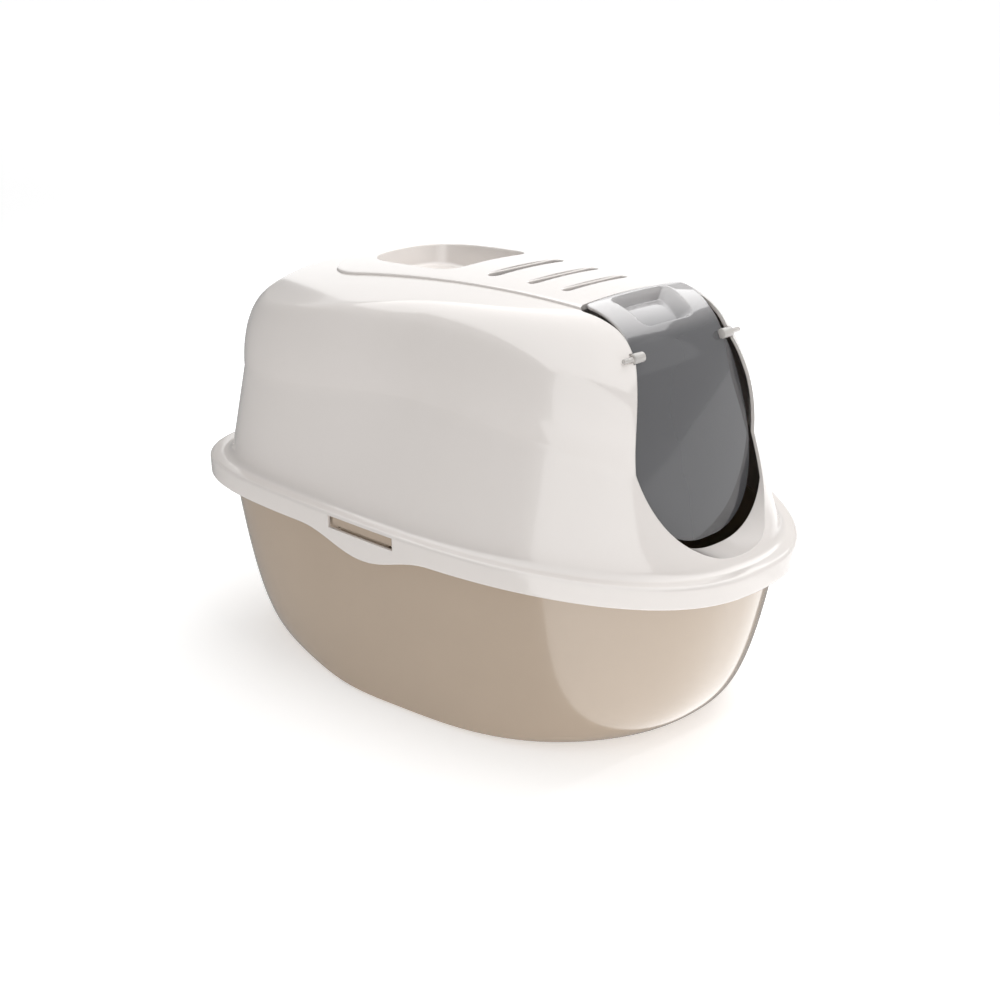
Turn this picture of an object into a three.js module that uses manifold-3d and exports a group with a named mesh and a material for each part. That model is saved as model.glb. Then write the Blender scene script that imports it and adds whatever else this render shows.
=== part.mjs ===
// Cat litter box with a hood: an egg-shaped tub, a one-piece hood that drops over its rim, a smoked
// swing door, two side latches and a charcoal filter in a drop-down tray under the roof.
// Millimetres, +Z up, door towards -Y, X across. The origin is on the floor, under the middle of the
// box's own bounding box.
import * as THREE from 'three';
import { mergeVertices } from 'three/addons/utils/BufferGeometryUtils.js';
import Module from 'manifold-3d';

const wasm = await Module();
wasm.setup();

// ---- driving dimensions -------------------------------------------------------------------------
const overallLength = 540;
const overallWidth = 410;
const frontEnd = -overallLength / 2;

// Plan outline: an egg, round at the door end, blunt at the rear.
const frontPower = 2.5;
const rearPower = 4.5;
const planFlare = 0.24;

// Hood skirt, the band that hangs over the tub's rim.
const skirtBottom = 159;
const skirtHeight = 19;
const skirtWall = 3;
const flangeWidth = 16;
const skirtDip = 15;
const skirtDipReach = 72;

// Hood shell.
const hoodWall = 3;
const roofTop = 366;
const roofCrestY = frontEnd + 164;
const roofCrossCurve = 0.00096;
const roofRearCurve = 0.00023;
const roofFrontCurve = 0.00044;
const lean = { side: 31, rear: 6, front: 24 };
const shoulderReach = { side: 44, rear: 18, front: 84 };
const shoulderDrop = { side: 76, rear: 58, front: 124 };

// The face round the door is flatter than the egg outline makes it.
const doorFlat = { depth: 7, halfWidth: 72, low: 195, high: 345, blend: 14 };
const footFillet = 6;

// Roof details.
const slots = [
  { y: 2, halfLength: 41, width: 12 },
  { y: -44, halfLength: 38, width: 8.5 },
  { y: -81, halfLength: 35, width: 7.5 },
];
const recess = { front: 46, rear: 176, halfWidth: 50, depth: 24, draft: 7, wall: 3, power: 3.2 };
const panel = { rise: 1.8, halfWidth: 56, flare: 0.03, spread: 0.00033, rear: 200, rounding: 70 };

// Door opening. Its lower part is an outline seen from the front, its upper part one seen from above.
const opening = {
  halfWidth: 69.5,
  widestZ: 266,
  bottomZ: 184.5,
  roundness: 2.4,
  topHalfWidth: 54,
  topFlare: 3,
  taper: 1.7,
  rearY: frontEnd + 151.5,
  cornerRadius: 9,
};
const collarWall = 3;
const collarEdge = { y: frontEnd + 88, z: 328, slope: 0.3 };

// Door leaf: an arc over the pivots that runs into a straight lower part.
const pivotY = frontEnd + 91.5;
const pivotZ = 337;
const leaf = { topY: frontEnd + 147, topZ: 367.3, radius: 59.5, hang: 13.8, edgeX: 51, crown: 0.0009 };
const leafThickness = 2.6;
const leafGap = 2.5;
const bossRadius = 4.1;
const bossInner = 45;
const bossOuter = 56;
const bossSeatGap = 0.3;
const pinRadius = 2.2;
const pinEnd = 69;
const bearingClearance = 0.4;
const cradleRadius = 5.6;
const grip = {
  rearY: frontEnd + 142.5,
  frontY: frontEnd + 107,
  rearHalfWidth: 33,
  frontHalfWidth: 28,
  corner: 8,
  depth: 10,
  sideDraft: 9,
  endDraft: 3,
  wall: 2.2,
};

// Tub.
const tubWall = 3;
const tubInset = 17;
const tubFloorHalfWidth = 175;
const tubFloorFront = 138;
const tubFloorRear = 197;
const tubFloorFrontPower = 4.2;
const tubFloorRearPower = 2.1;
const tubFloorFlare = 0.4;
const bulge = { side: 1.5, rear: 6, front: 4.75 };
const footHeight = 3;
const rimThickness = 3;
const rimLip = 7;
const rimClearance = 1.5;
const seatGap = 0.3;

// Feet.
const footRadius = 11;
const footSpan = { frontX: 98, frontY: -96, rearX: 161, rearY: 52 };
const footSeatDepth = 1.4;

// Side latches.
const windowLength = 74;
const windowHeight = 11;
const windowTopMargin = 2.6;
const windowCentreY = 3;
const latchGap = 1.3;
const latchSetBack = 0.4;
const latchThickness = 3;
const latchPinRadius = 1.5;
const latchBarrelRadius = 3.2;
const latchEarLength = 5;
const latchPinDrop = 15;

// Filter tray under the vent slots.
const tray = { front: -98, rear: 16, halfWidth: 54, height: 11, wall: 2, roofGap: 1.5, bar: 3, bars: 7 };
const filterPad = { thickness: 6, gap: 0.6 };
const trayPinRadius = 1.6;
const trayHookWall = 2.4;
const trayHookRadius = 4.2;
const trayPinOverhang = 7;

// ---- materials ----------------------------------------------------------------------------------
const white = new THREE.MeshStandardMaterial({ color: 0xece7e2, roughness: 0.22, metalness: 0 });
const taupe = new THREE.MeshStandardMaterial({ color: 0xb5a594, roughness: 0.35, metalness: 0 });
const smoked = new THREE.MeshStandardMaterial({ color: 0x6a6b70, roughness: 0.12, metalness: 0 });
const clear = new THREE.MeshStandardMaterial({ color: 0xd9d4d0, roughness: 0.15, metalness: 0 });
const charcoal = new THREE.MeshStandardMaterial({ color: 0x2a2a2b, roughness: 0.95, metalness: 0 });
const rubber = new THREE.MeshStandardMaterial({ color: 0x8d8274, roughness: 0.8, metalness: 0 });
const steel = new THREE.MeshStandardMaterial({ color: 0xb8b8b8, roughness: 0.35, metalness: 1 });

// ---- mesh helpers -------------------------------------------------------------------------------
const range = (count) => Array.from({ length: count }, (_, index) => index);
const mix = (from, to, share) => from + (to - from) * share;
const clamp = (value, low, high) => Math.min(Math.max(value, low), high);

/** A closed geometry as a solid for cutting and joining. */
function solid(geometry) {
  const bare = geometry.clone();
  bare.deleteAttribute('normal');
  bare.deleteAttribute('uv');
  const merged = mergeVertices(bare, 1e-4);
  return new wasm.Manifold(new wasm.Mesh({
    numProp: 3,
    vertProperties: new Float32Array(merged.attributes.position.array),
    triVerts: new Uint32Array(merged.index.array),
  }));
}

/** Points and triangles as an indexed geometry. */
function indexed(points, triangles) {
  const geometry = new THREE.BufferGeometry();
  geometry.setAttribute('position', new THREE.Float32BufferAttribute(points.flat(), 3));
  geometry.setIndex(triangles);
  return geometry;
}

/** Closed skin over rings of equal count. The first and last ring close on their own middle. */
function loft(rings) {
  const count = rings[0].length;
  const points = rings.flat();
  const triangles = [];
  for (let row = 0; row + 1 < rings.length; row += 1) {
    for (let column = 0; column < count; column += 1) {
      const next = (column + 1) % count;
      const a = row * count + column;
      const b = row * count + next;
      triangles.push(a, b, a + count, b, b + count, a + count);
    }
  }
  for (const [row, flip] of [[0, false], [rings.length - 1, true]]) {
    const middle = points.length;
    const mean = [0, 1, 2].map((axis) => rings[row].reduce((sum, p) => sum + p[axis], 0) / count);
    points.push(mean);
    for (let column = 0; column < count; column += 1) {
      const a = row * count + column;
      const b = row * count + ((column + 1) % count);
      triangles.push(...(flip ? [a, b, middle] : [b, a, middle]));
    }
  }
  const body = solid(indexed(points, triangles));
  return body.volume() > 0 ? body : solid(indexed(points, triangles.reverse()));
}

/** Cylinder between two points. */
function rod(from, to, radius, sides = 20) {
  const start = new THREE.Vector3(...from);
  const end = new THREE.Vector3(...to);
  const geometry = new THREE.CylinderGeometry(radius, radius, start.distanceTo(end), sides);
  const along = end.clone().sub(start).normalize();
  geometry.applyQuaternion(new THREE.Quaternion().setFromUnitVectors(new THREE.Vector3(0, 1, 0), along));
  geometry.translate(...start.add(end).multiplyScalar(0.5).toArray());
  return solid(geometry);
}

/** Box between two opposite corners. */
function block(low, high) {
  const size = high.map((value, axis) => value - low[axis]);
  const geometry = new THREE.BoxGeometry(...size);
  geometry.translate(...low.map((value, axis) => value + size[axis] / 2));
  return solid(geometry);
}

/** Box given in a frame that is turned about Z and moved to a place. */
function turnedBlock(low, high, place, angle) {
  const size = high.map((value, axis) => value - low[axis]);
  const geometry = new THREE.BoxGeometry(...size);
  geometry.translate(...low.map((value, axis) => value + size[axis] / 2));
  geometry.rotateZ(angle);
  geometry.translate(...place);
  return solid(geometry);
}

// ---- outlines and surfaces ----------------------------------------------------------------------
/** Point of an egg outline. Direction 0 is +X and a quarter turn on is the rear. */
function planPoint(direction, plan) {
  const c = Math.cos(direction);
  const s = Math.sin(direction);
  const power = s < 0 ? plan.frontPower : plan.rearPower;
  const reach = s < 0 ? plan.front : plan.rear;
  const k = (Math.abs(c) ** power + Math.abs(s) ** power) ** (-1 / power);
  const y = reach * s * k;
  return [plan.halfWidth * c * k * (1 + planTaper(plan, y)) / plan.peak, y];
}

/** Share by which the outline is wider at y than at its middle. */
function planTaper(plan, y) {
  return plan.flare * y / (overallLength / 2);
}

/** Outline whose widest place is exactly its half-width. */
function makePlan(halfWidth, front, rear, powers, flare) {
  const plan = { halfWidth: 1, front, rear, frontPower: powers[0], rearPower: powers[1], flare, peak: 1 };
  const widths = range(181).map((step) => planPoint(step * Math.PI / 360, plan)[0]);
  return { ...plan, halfWidth, peak: Math.max(...widths) };
}

/** The overall outline moved in by a distance. */
function insetPlan(inset) {
  const half = overallLength / 2 - inset;
  return makePlan(overallWidth / 2 - inset, half, half, [frontPower, rearPower], planFlare);
}

/** Value for a direction, from a side, a rear and a front value. */
function around(values, direction) {
  const s = Math.sin(direction);
  const target = s < 0 ? values.front : values.rear;
  return mix(values.side, target, s * s);
}

/** Height of the crowned roof sheet over a plan point. */
function roofHeight(x, y) {
  const along = y > roofCrestY ? roofRearCurve : roofFrontCurve;
  return roofTop - roofCrossCurve * x * x - along * (y - roofCrestY) ** 2;
}

const skirtTop = skirtBottom + skirtHeight;
const hoodPlans = new Map();

/** The hood's profile in one direction: a leaning wall, an elliptic shoulder and the roof sheet. */
function hoodProfile(direction, inset) {
  if (!hoodPlans.has(inset)) hoodPlans.set(inset, insetPlan(flangeWidth + inset));
  const foot = planPoint(direction, hoodPlans.get(inset));
  const rho = Math.hypot(...foot);
  const reach = around(shoulderReach, direction) - inset;
  const drop = around(shoulderDrop, direction) - inset;
  const wallLean = around(lean, direction);
  let sweep = 1.35;
  let end = foot;
  for (let pass = 0; pass < 4; pass += 1) {
    const share = (rho - wallLean - reach * (1 - Math.cos(sweep))) / rho;
    end = [foot[0] * share, foot[1] * share];
    const fall = roofHeight(end[0] * 0.98, end[1] * 0.98) - roofHeight(...end);
    sweep = Math.atan2(drop / reach, Math.max(fall / (0.02 * rho * share), 0.01));
  }
  const shoulderTop = roofHeight(...end) - inset;
  return { foot, rho, reach, drop, wallLean, sweep, end, wallTop: shoulderTop - drop * Math.sin(sweep) };
}

/** How far the face round the door is pulled back at a place. */
function doorFlatness(x, y, z) {
  if (y > 0) return 0;
  const low = 1 / (1 + Math.exp((doorFlat.low - z) / doorFlat.blend * 4));
  const high = 1 / (1 + Math.exp((z - doorFlat.high) / doorFlat.blend * 4));
  return doorFlat.depth * low * high * Math.exp(-((x / doorFlat.halfWidth) ** 4));
}

/** Hood point: stage 0 to 1 is the wall, 1 to 2 the shoulder, 2 to 3 the roof towards its middle. */
function hoodPoint(direction, stage, inset = 0) {
  const profile = hoodProfile(direction, inset);
  if (stage > 2) {
    const [x, y] = profile.end.map((value) => value * (3 - stage));
    return [x, y, roofHeight(x, y) - inset];
  }
  const onWall = clamp(stage, 0, 1);
  const turn = profile.sweep * clamp(stage - 1, 0, 1);
  const share = (profile.rho - profile.wallLean * onWall - profile.reach * (1 - Math.cos(turn))) / profile.rho;
  const z = mix(skirtTop, profile.wallTop, onWall) + profile.drop * Math.sin(turn);
  const [x, y] = profile.foot.map((value) => value * share);
  return [x, y + doorFlatness(x, y, z), z];
}

// ---- door opening and leaf outlines -------------------------------------------------------------
/** Prism with its outline in X and Z, between two values of Y. */
function prismAlongY(outline, fromY, toY) {
  const shape = new THREE.Shape(outline.map(([x, z]) => new THREE.Vector2(x, z)));
  const geometry = new THREE.ExtrudeGeometry(shape, { depth: toY - fromY, bevelEnabled: false });
  const turn = new THREE.Matrix4().makeBasis(new THREE.Vector3(1, 0, 0), new THREE.Vector3(0, 0, 1),
    new THREE.Vector3(0, -1, 0));
  geometry.applyMatrix4(turn);
  geometry.translate(0, toY, 0);
  return solid(geometry);
}

/** Prism with its outline in Y and Z, between two values of X. */
function prismAlongX(outline, fromX, toX) {
  const shape = new THREE.Shape(outline.map(([y, z]) => new THREE.Vector2(y, z)));
  const geometry = new THREE.ExtrudeGeometry(shape, { depth: toX - fromX, bevelEnabled: false });
  const turn = new THREE.Matrix4().makeBasis(new THREE.Vector3(0, 1, 0), new THREE.Vector3(0, 0, 1),
    new THREE.Vector3(1, 0, 0));
  geometry.applyMatrix4(turn);
  geometry.translate(fromX, 0, 0);
  return solid(geometry);
}

/** Prism with its outline in X and Y, between two heights. */
function prismAlongZ(outline, fromZ, toZ) {
  const shape = new THREE.Shape(outline.map(([x, y]) => new THREE.Vector2(x, y)));
  const geometry = new THREE.ExtrudeGeometry(shape, { depth: toZ - fromZ, bevelEnabled: false });
  geometry.translate(0, 0, fromZ);
  return solid(geometry);
}

/** Half-width of the door opening at a height. */
function openingHalfWidth(z) {
  if (z >= opening.widestZ) {
    const share = (z - opening.widestZ) / (pivotZ - opening.widestZ);
    return opening.halfWidth - (opening.halfWidth - opening.topHalfWidth) * share ** opening.taper;
  }
  const share = clamp((opening.widestZ - z) / (opening.widestZ - opening.bottomZ), 0, 1);
  return opening.halfWidth * (1 - share ** opening.roundness) ** (1 / opening.roundness);
}

/** Outline of the lower opening in X and Z, made larger by a margin. */
function lowerOutline(margin, topZ) {
  const half = 20;
  const bottom = opening.widestZ - opening.bottomZ;
  const left = range(half + 1).map((step) => {
    const z = opening.widestZ - bottom * Math.sin(step / half * Math.PI / 2);
    const width = openingHalfWidth(z);
    const spread = (bottom + margin) / bottom;
    return [-(width * (opening.halfWidth + margin) / opening.halfWidth),
      opening.widestZ - (opening.widestZ - z) * spread];
  });
  const upper = range(8).map((step) => {
    const z = mix(topZ, opening.widestZ, step / 8);
    return [-(openingHalfWidth(Math.min(z, pivotZ)) + margin), z];
  });
  const side = [...upper, ...left];
  const other = side.slice(0, -1).reverse().map(([x, z]) => [-x, z]);
  return [...side, ...other];
}

/** Outline of the upper opening in X and Y, with its rear corners rounded. */
function upperOutline(margin, frontY) {
  const halfWidth = opening.topHalfWidth + margin;
  const rear = opening.rearY + (margin < 0 ? leaf.topY - opening.rearY : margin);
  const radius = opening.cornerRadius + Math.min(margin, 0) / 2;
  const corner = range(7).map((step) => {
    const angle = step / 6 * Math.PI / 2;
    const outer = halfWidth + opening.topFlare;
    return [outer - radius + radius * Math.cos(angle), rear - radius + radius * Math.sin(angle)];
  });
  const other = corner.map(([x, y]) => [-x, y]).reverse();
  const waist = pivotY + 2 * bossRadius + 10;
  return [[halfWidth, frontY], [halfWidth, waist], ...corner, ...other, [-halfWidth, waist], [-halfWidth, frontY]];
}

/** Everything inside the opening's outline, made larger by a margin. */
function openingPrism(margin, rearY) {
  return prismAlongY(lowerOutline(margin, pivotZ + 1), -overallLength, rearY)
    .add(prismAlongZ(upperOutline(margin, pivotY - 30), pivotZ - 8, roofTop + 20));
}

/** Everything in front of the collar's slanted rear edge. */
function frontOfCollar() {
  const low = skirtTop;
  const high = pivotZ;
  const edgeAt = (z) => collarEdge.y - collarEdge.slope * (collarEdge.z - z);
  return prismAlongX([[-overallLength, low], [edgeAt(low), low], [edgeAt(high), high], [-overallLength, high]],
    -overallWidth / 2, overallWidth / 2);
}

// ---- hood ---------------------------------------------------------------------------------------
const ringCount = 72;
const directions = range(ringCount).map((step) => step * 2 * Math.PI / ringCount - Math.PI / 2);

/** Drop of the skirt's lower edge at a place along the box, to go round the latch windows. */
function dipAt(y) {
  const share = clamp(Math.abs(y - windowCentreY) / skirtDipReach, 0, 1);
  return skirtDip * Math.cos(share * Math.PI / 2) ** 2;
}

/** Ring at an inset from the skirt's face. */
function skirtRing(inset, height) {
  const plan = insetPlan(inset);
  return directions.map((direction) => {
    const [x, y] = planPoint(direction, plan);
    return [x, y, height(y)];
  });
}

const roofStages = [2.85, 2.6, 2.3, 2, 1.8, 1.6, 1.4, 1.2, 1, 0.6, 0.25, 0.06];

/** The bare hood: roof, walls, flange and skirt in one skin. */
function hoodShell() {
  const outside = roofStages.map((stage) => directions.map((d) => hoodPoint(d, stage)));
  const inside = roofStages.map((stage) => directions.map((d) => hoodPoint(d, stage, hoodWall)));
  const skirt = [
    [flangeWidth - 0.3 * footFillet, () => skirtTop + 0.4 * footFillet],
    [flangeWidth - footFillet, () => skirtTop],
    [3.5, () => skirtTop],
    [1, () => skirtTop - 1],
    [0, () => skirtTop - 3.5],
    [0, (y) => skirtBottom - dipAt(y)],
    [skirtWall, (y) => skirtBottom - dipAt(y)],
    [skirtWall, () => skirtTop - skirtWall],
    [flangeWidth + hoodWall - 1, () => skirtTop - skirtWall],
  ].map(([inset, height]) => skirtRing(inset, height));
  return loft([...outside, ...skirt, ...inside.reverse()]);
}

/** Everything inside the hood's outer surface, above the flange. */
function hoodVolume() {
  const outside = roofStages.map((stage) => directions.map((d) => hoodPoint(d, stage)));
  return loft([...outside, directions.map((d) => hoodPoint(d, 0))]);
}

/** D-shaped ring for the hand recess: straight at the front, round at the rear. */
function recessRing(inset, z) {
  const halfLength = (recess.rear - recess.front) / 2 - inset;
  const centre = (recess.rear + recess.front) / 2;
  const count = 40;
  return range(count).map((step) => {
    const angle = step * 2 * Math.PI / count + Math.PI / count;
    const c = Math.cos(angle);
    const s = Math.sin(angle);
    const power = s < 0 ? recess.power * 2 : recess.power;
    const k = (Math.abs(c) ** power + Math.abs(s) ** power) ** (-1 / power);
    return [(recess.halfWidth - inset) * c * k, centre + halfLength * s * k, z];
  });
}

const recessFloor = roofHeight(0, (recess.front + recess.rear) / 2) - recess.depth;

/** The dish of the hand recess, with its hollow. */
function recessDish() {
  const above = roofTop + 10;
  const outer = loft([
    recessRing(recess.draft - recess.wall, recessFloor - recess.wall),
    recessRing(-recess.wall, roofHeight(recess.halfWidth, recess.rear) - hoodWall / 2),
  ]);
  const hollow = loft([
    recessRing(recess.draft, recessFloor),
    recessRing(0, roofHeight(recess.halfWidth, recess.rear)),
    recessRing(0, above),
  ]);
  return { outer, hollow };
}

/** Slot cutter with round ends, straight down through the roof. */
function slotCutter(slot) {
  const straight = slot.halfLength - slot.width / 2;
  const low = roofTop - 25;
  const high = roofTop + 5;
  return rod([-straight, slot.y, low], [-straight, slot.y, high], slot.width / 2)
    .add(rod([straight, slot.y, low], [straight, slot.y, high], slot.width / 2))
    .add(block([-straight, slot.y - slot.width / 2, low], [straight, slot.y + slot.width / 2, high]));
}

/** Half-width of the raised middle strip of the roof. */
function panelHalfWidth(y) {
  const back = y - opening.rearY;
  const closing = clamp((y - panel.rear + panel.rounding) / panel.rounding, 0, 1);
  const width = panel.halfWidth + panel.flare * back + panel.spread * back * back;
  return width * Math.sqrt(1 - 0.97 * closing ** 2.4);
}

/** Raised middle strip of the roof, from the door to behind the hand recess. */
function panelStrip() {
  const straight = range(9).map((step) => mix(opening.rearY - 6, panel.rear - panel.rounding, step / 9));
  const round = range(9).map((step) => panel.rear - panel.rounding * (1 - Math.sin(step / 8 * Math.PI / 2)));
  const layer = (lift, inset) => [...straight, ...round].map((y) => range(13).map((column) => {
    const x = (panelHalfWidth(y) - inset) * (column / 6 - 1);
    return [x, y, roofHeight(x, y) + lift];
  }));
  return gridSolid(layer(-1, 0), layer(panel.rise, 1.5));
}

/** Solid between two grids of the same size, the second above the first. */
function gridSolid(low, high) {
  const width = low[0].length;
  const points = [...low.flat(), ...high.flat()];
  const top = low.length * width;
  const triangles = [];
  const quad = (a, b, c, d) => triangles.push(a, b, c, a, c, d);
  for (let row = 0; row + 1 < low.length; row += 1) {
    const here = row * width;
    for (let column = 0; column + 1 < width; column += 1) {
      const a = here + column;
      quad(top + a, top + a + 1, top + a + width + 1, top + a + width);
      quad(a, a + width, a + width + 1, a + 1);
    }
    quad(here, top + here, top + here + width, here + width);
    const side = here + width - 1;
    quad(side, side + width, top + side + width, top + side);
  }
  const last = (low.length - 1) * width;
  for (let column = 0; column + 1 < width; column += 1) {
    quad(column, column + 1, top + column + 1, top + column);
    quad(last + column, top + last + column, top + last + column + 1, last + column + 1);
  }
  const body = solid(indexed(points, triangles));
  return body.volume() > 0 ? body : solid(indexed(points, triangles.reverse()));
}

// Latch places: the skirt's face beside the middle of each window, and the way that it faces.
const skirtFace = insetPlan(0);
const windowDirection = range(2001).map((step) => (step / 2000 - 0.5) * 1.2)
  .reduce((best, direction) => {
    const miss = Math.abs(planPoint(direction, skirtFace)[1] - windowCentreY);
    return miss < best.miss ? { direction, miss } : best;
  }, { direction: 0, miss: Infinity }).direction;
const windowPlace = planPoint(windowDirection, skirtFace);
const faceTurn = (() => {
  const ahead = planPoint(windowDirection + 0.02, skirtFace);
  const behind = planPoint(windowDirection - 0.02, skirtFace);
  return Math.atan2(ahead[1] - behind[1], ahead[0] - behind[0]) - Math.PI / 2;
})();
const windowTop = skirtTop - windowTopMargin;
const windowBottom = windowTop - windowHeight;

/** A solid drawn beside the right-hand window, in its own frame: +X out of the skirt, +Y to the rear. */
function besideWindow(low, high) {
  return turnedBlock(low, high, [...windowPlace, 0], faceTurn);
}

/** Place in the window's frame as a place on the box. */
function fromWindow([out, along, z]) {
  const c = Math.cos(faceTurn);
  const s = Math.sin(faceTurn);
  return [windowPlace[0] + out * c - along * s, windowPlace[1] + out * s + along * c, z];
}

/** The mirror image of a solid across the YZ plane. */
function mirrored(body) {
  return body.mirror([1, 0, 0]);
}

/** Cradle for a door pin, and the notch that lets the pin and its boss in from outside. */
function pinCradle() {
  const body = rod([bossOuter + 1, pivotY, pivotZ], [pinEnd + 2.5, pivotY, pivotZ], cradleRadius, 24)
    .intersect(hoodVolume());
  const bossHalf = bossRadius + bearingClearance;
  const pinHalf = pinRadius + bearingClearance;
  const bossSlot = outwardSlot(bossInner - 3, bossOuter + 0.6, bossHalf);
  const pinSlot = outwardSlot(bossInner, pinEnd + 0.6, pinHalf);
  return { body, notch: bossSlot.add(pinSlot) };
}

/** Round-bottomed slot along the pivot axis, open outwards between straight up and forwards. */
function outwardSlot(fromX, toX, half) {
  const slot = new THREE.BoxGeometry(toX - fromX, 2 * half, 16);
  slot.translate((fromX + toX) / 2, 0, 8);
  slot.rotateX(Math.PI / 4);
  slot.translate(0, pivotY, pivotZ);
  return rod([fromX, pivotY, pivotZ], [toX, pivotY, pivotZ], half).add(solid(slot));
}

// Tray hooks under the roof: the tray's rear edge turns on pins in them.
const trayTop = roofHeight(tray.halfWidth, tray.rear) - hoodWall - tray.roofGap;
const trayFrontTop = roofHeight(tray.halfWidth, tray.front) - hoodWall - tray.roofGap;
const trayLevel = Math.min(trayTop, trayFrontTop);
const trayAxisZ = trayLevel - tray.height / 2;
const trayAxisY = tray.rear + trayHookRadius + 0.9;
const hookHalfGap = tray.halfWidth - 8;

/** Hook under the roof at one side of the tray's rear edge. */
function trayHook() {
  const from = [hookHalfGap, trayAxisY, trayAxisZ];
  const to = [hookHalfGap + trayHookWall, trayAxisY, trayAxisZ];
  const eye = rod(from, to, trayHookRadius);
  const arm = block([hookHalfGap, trayAxisY - 2, trayAxisZ],
    [hookHalfGap + trayHookWall, trayAxisY + trayHookRadius, roofHeight(hookHalfGap, trayAxisY) - hoodWall / 2]);
  const bore = rod([hookHalfGap - 2, trayAxisY, trayAxisZ], [hookHalfGap + 6, trayAxisY, trayAxisZ],
    trayPinRadius + 0.35, 16);
  return eye.add(arm).subtract(bore);
}

/** Catch under the roof, in front of the tray. */
function trayCatch() {
  const y = tray.front - 1;
  return block([-9, y - 3.5, trayLevel - tray.height + 1], [9, y, roofHeight(9, y) - hoodWall + 1]);
}

function hoodShape() {
  const dish = recessDish();
  const cradle = pinCradle();
  const collar = prismAlongY(lowerOutline(collarWall, pivotZ + 1), -overallLength, 0)
    .intersect(hoodVolume())
    .intersect(frontOfCollar());
  const window = besideWindow([-9, -windowLength / 2, windowBottom], [4, windowLength / 2, windowTop]);
  let body = hoodShell().add(panelStrip()).add(dish.outer).subtract(dish.hollow).add(collar);
  body = body.subtract(openingPrism(0, pivotY + 20));
  for (const slot of slots) body = body.subtract(slotCutter(slot));
  body = body.subtract(window).subtract(mirrored(window));
  body = body.add(cradle.body).add(mirrored(cradle.body)).subtract(cradle.notch).subtract(mirrored(cradle.notch));
  const hook = trayHook();
  return body.add(hook).add(mirrored(hook)).add(trayCatch());
}

// ---- door ---------------------------------------------------------------------------------------
const leafArcEnd = Math.PI - leaf.hang * Math.PI / 180;
const leafArcCentre = [leaf.topY, leaf.topZ - leaf.radius];

/** Place down the leaf's profile, from its top edge, with the way that its outer face looks. */
function leafProfile(distance) {
  const angle = Math.PI / 2 + Math.max(distance, 0) / leaf.radius;
  if (angle < leafArcEnd) {
    const normal = [Math.cos(angle), Math.sin(angle)];
    return { y: leafArcCentre[0] + leaf.radius * normal[0], z: leafArcCentre[1] + leaf.radius * normal[1], normal };
  }
  const normal = [Math.cos(leafArcEnd), Math.sin(leafArcEnd)];
  const straight = distance - (leafArcEnd - Math.PI / 2) * leaf.radius;
  return {
    y: leafArcCentre[0] + leaf.radius * normal[0] - straight * normal[1],
    z: leafArcCentre[1] + leaf.radius * normal[1] + straight * normal[0],
    normal,
  };
}

/** Point of the leaf: x across, a distance down the profile and an offset out of the outer face. */
function leafPoint(x, distance, offset) {
  const { y, z, normal } = leafProfile(distance);
  const out = offset + leaf.crown * (leaf.edgeX ** 2 - x * x);
  return [x, y + out * normal[0], z + out * normal[1]];
}

/** Distance down the profile where it passes a value of Y on its arc. */
function leafDistance(y) {
  return leaf.radius * Math.asin((leaf.topY - y) / leaf.radius);
}

/** The leaf's sheet, before its outline is cut. */
function leafSheet() {
  const arc = (leafArcEnd - Math.PI / 2) * leaf.radius;
  const length = arc + (pivotZ - opening.bottomZ);
  const distances = [...range(11).map((step) => -4 + (arc + 4) * step / 10), mix(arc, length, 0.5), length];
  const layer = (offset) => distances.map((distance) => range(15).map((column) => (
    leafPoint((column / 7 - 1) * (opening.halfWidth + 3), distance, offset))));
  return gridSolid(layer(-leafThickness), layer(0));
}

/** Tapered solid of the grip recess, between a depth and a lift above the leaf's face. */
function gripSolid(inset, depth, lift) {
  const start = leafDistance(grip.rearY);
  const end = leafDistance(grip.frontY);
  const layer = (sideInset, endInset, offset) => range(17).map((step) => {
    const share = (1 - Math.cos(Math.PI * step / 16)) / 2;
    const distance = mix(start + endInset, end - endInset, share);
    const edge = Math.min(distance - start - endInset, end - endInset - distance);
    const bite = clamp(1 - edge / grip.corner, 0, 1);
    const rounded = grip.corner * (1 - Math.sqrt(1 - bite * bite));
    const halfWidth = mix(grip.rearHalfWidth, grip.frontHalfWidth, share) - sideInset - rounded;
    return range(9).map((column) => leafPoint(halfWidth * (column / 4 - 1), distance, offset));
  });
  return gridSolid(layer(inset + grip.sideDraft, inset + grip.endDraft, -depth), layer(inset, inset, lift));
}

function doorShape() {
  const seat = bossRadius + bossSeatGap;
  const outline = openingPrism(-leafGap, -overallLength / 8);
  const pan = gripSolid(-grip.wall, grip.depth + grip.wall, -0.4);
  const hollow = gripSolid(0, grip.depth, 4);
  const seatCut = rod([bossInner - bossSeatGap, pivotY, pivotZ], [bossOuter + 5, pivotY, pivotZ], seat);
  return leafSheet().intersect(outline).add(pan).subtract(hollow).subtract(seatCut).subtract(mirrored(seatCut));
}

/** Clear pivot: a round boss in the leaf's edge, a tongue behind the leaf and the pin. */
function pivotShape() {
  const boss = rod([bossInner, pivotY, pivotZ], [bossOuter, pivotY, pivotZ], bossRadius, 24);
  const pin = rod([bossOuter - 1, pivotY, pivotZ], [pinEnd, pivotY, pivotZ], pinRadius);
  return boss.add(pin);
}

// ---- tub ----------------------------------------------------------------------------------------
const tubTop = skirtTop - skirtWall - seatGap;
const tubFloorPlan = makePlan(tubFloorHalfWidth, tubFloorFront, tubFloorRear,
  [tubFloorFrontPower, tubFloorRearPower], tubFloorFlare);

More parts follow.
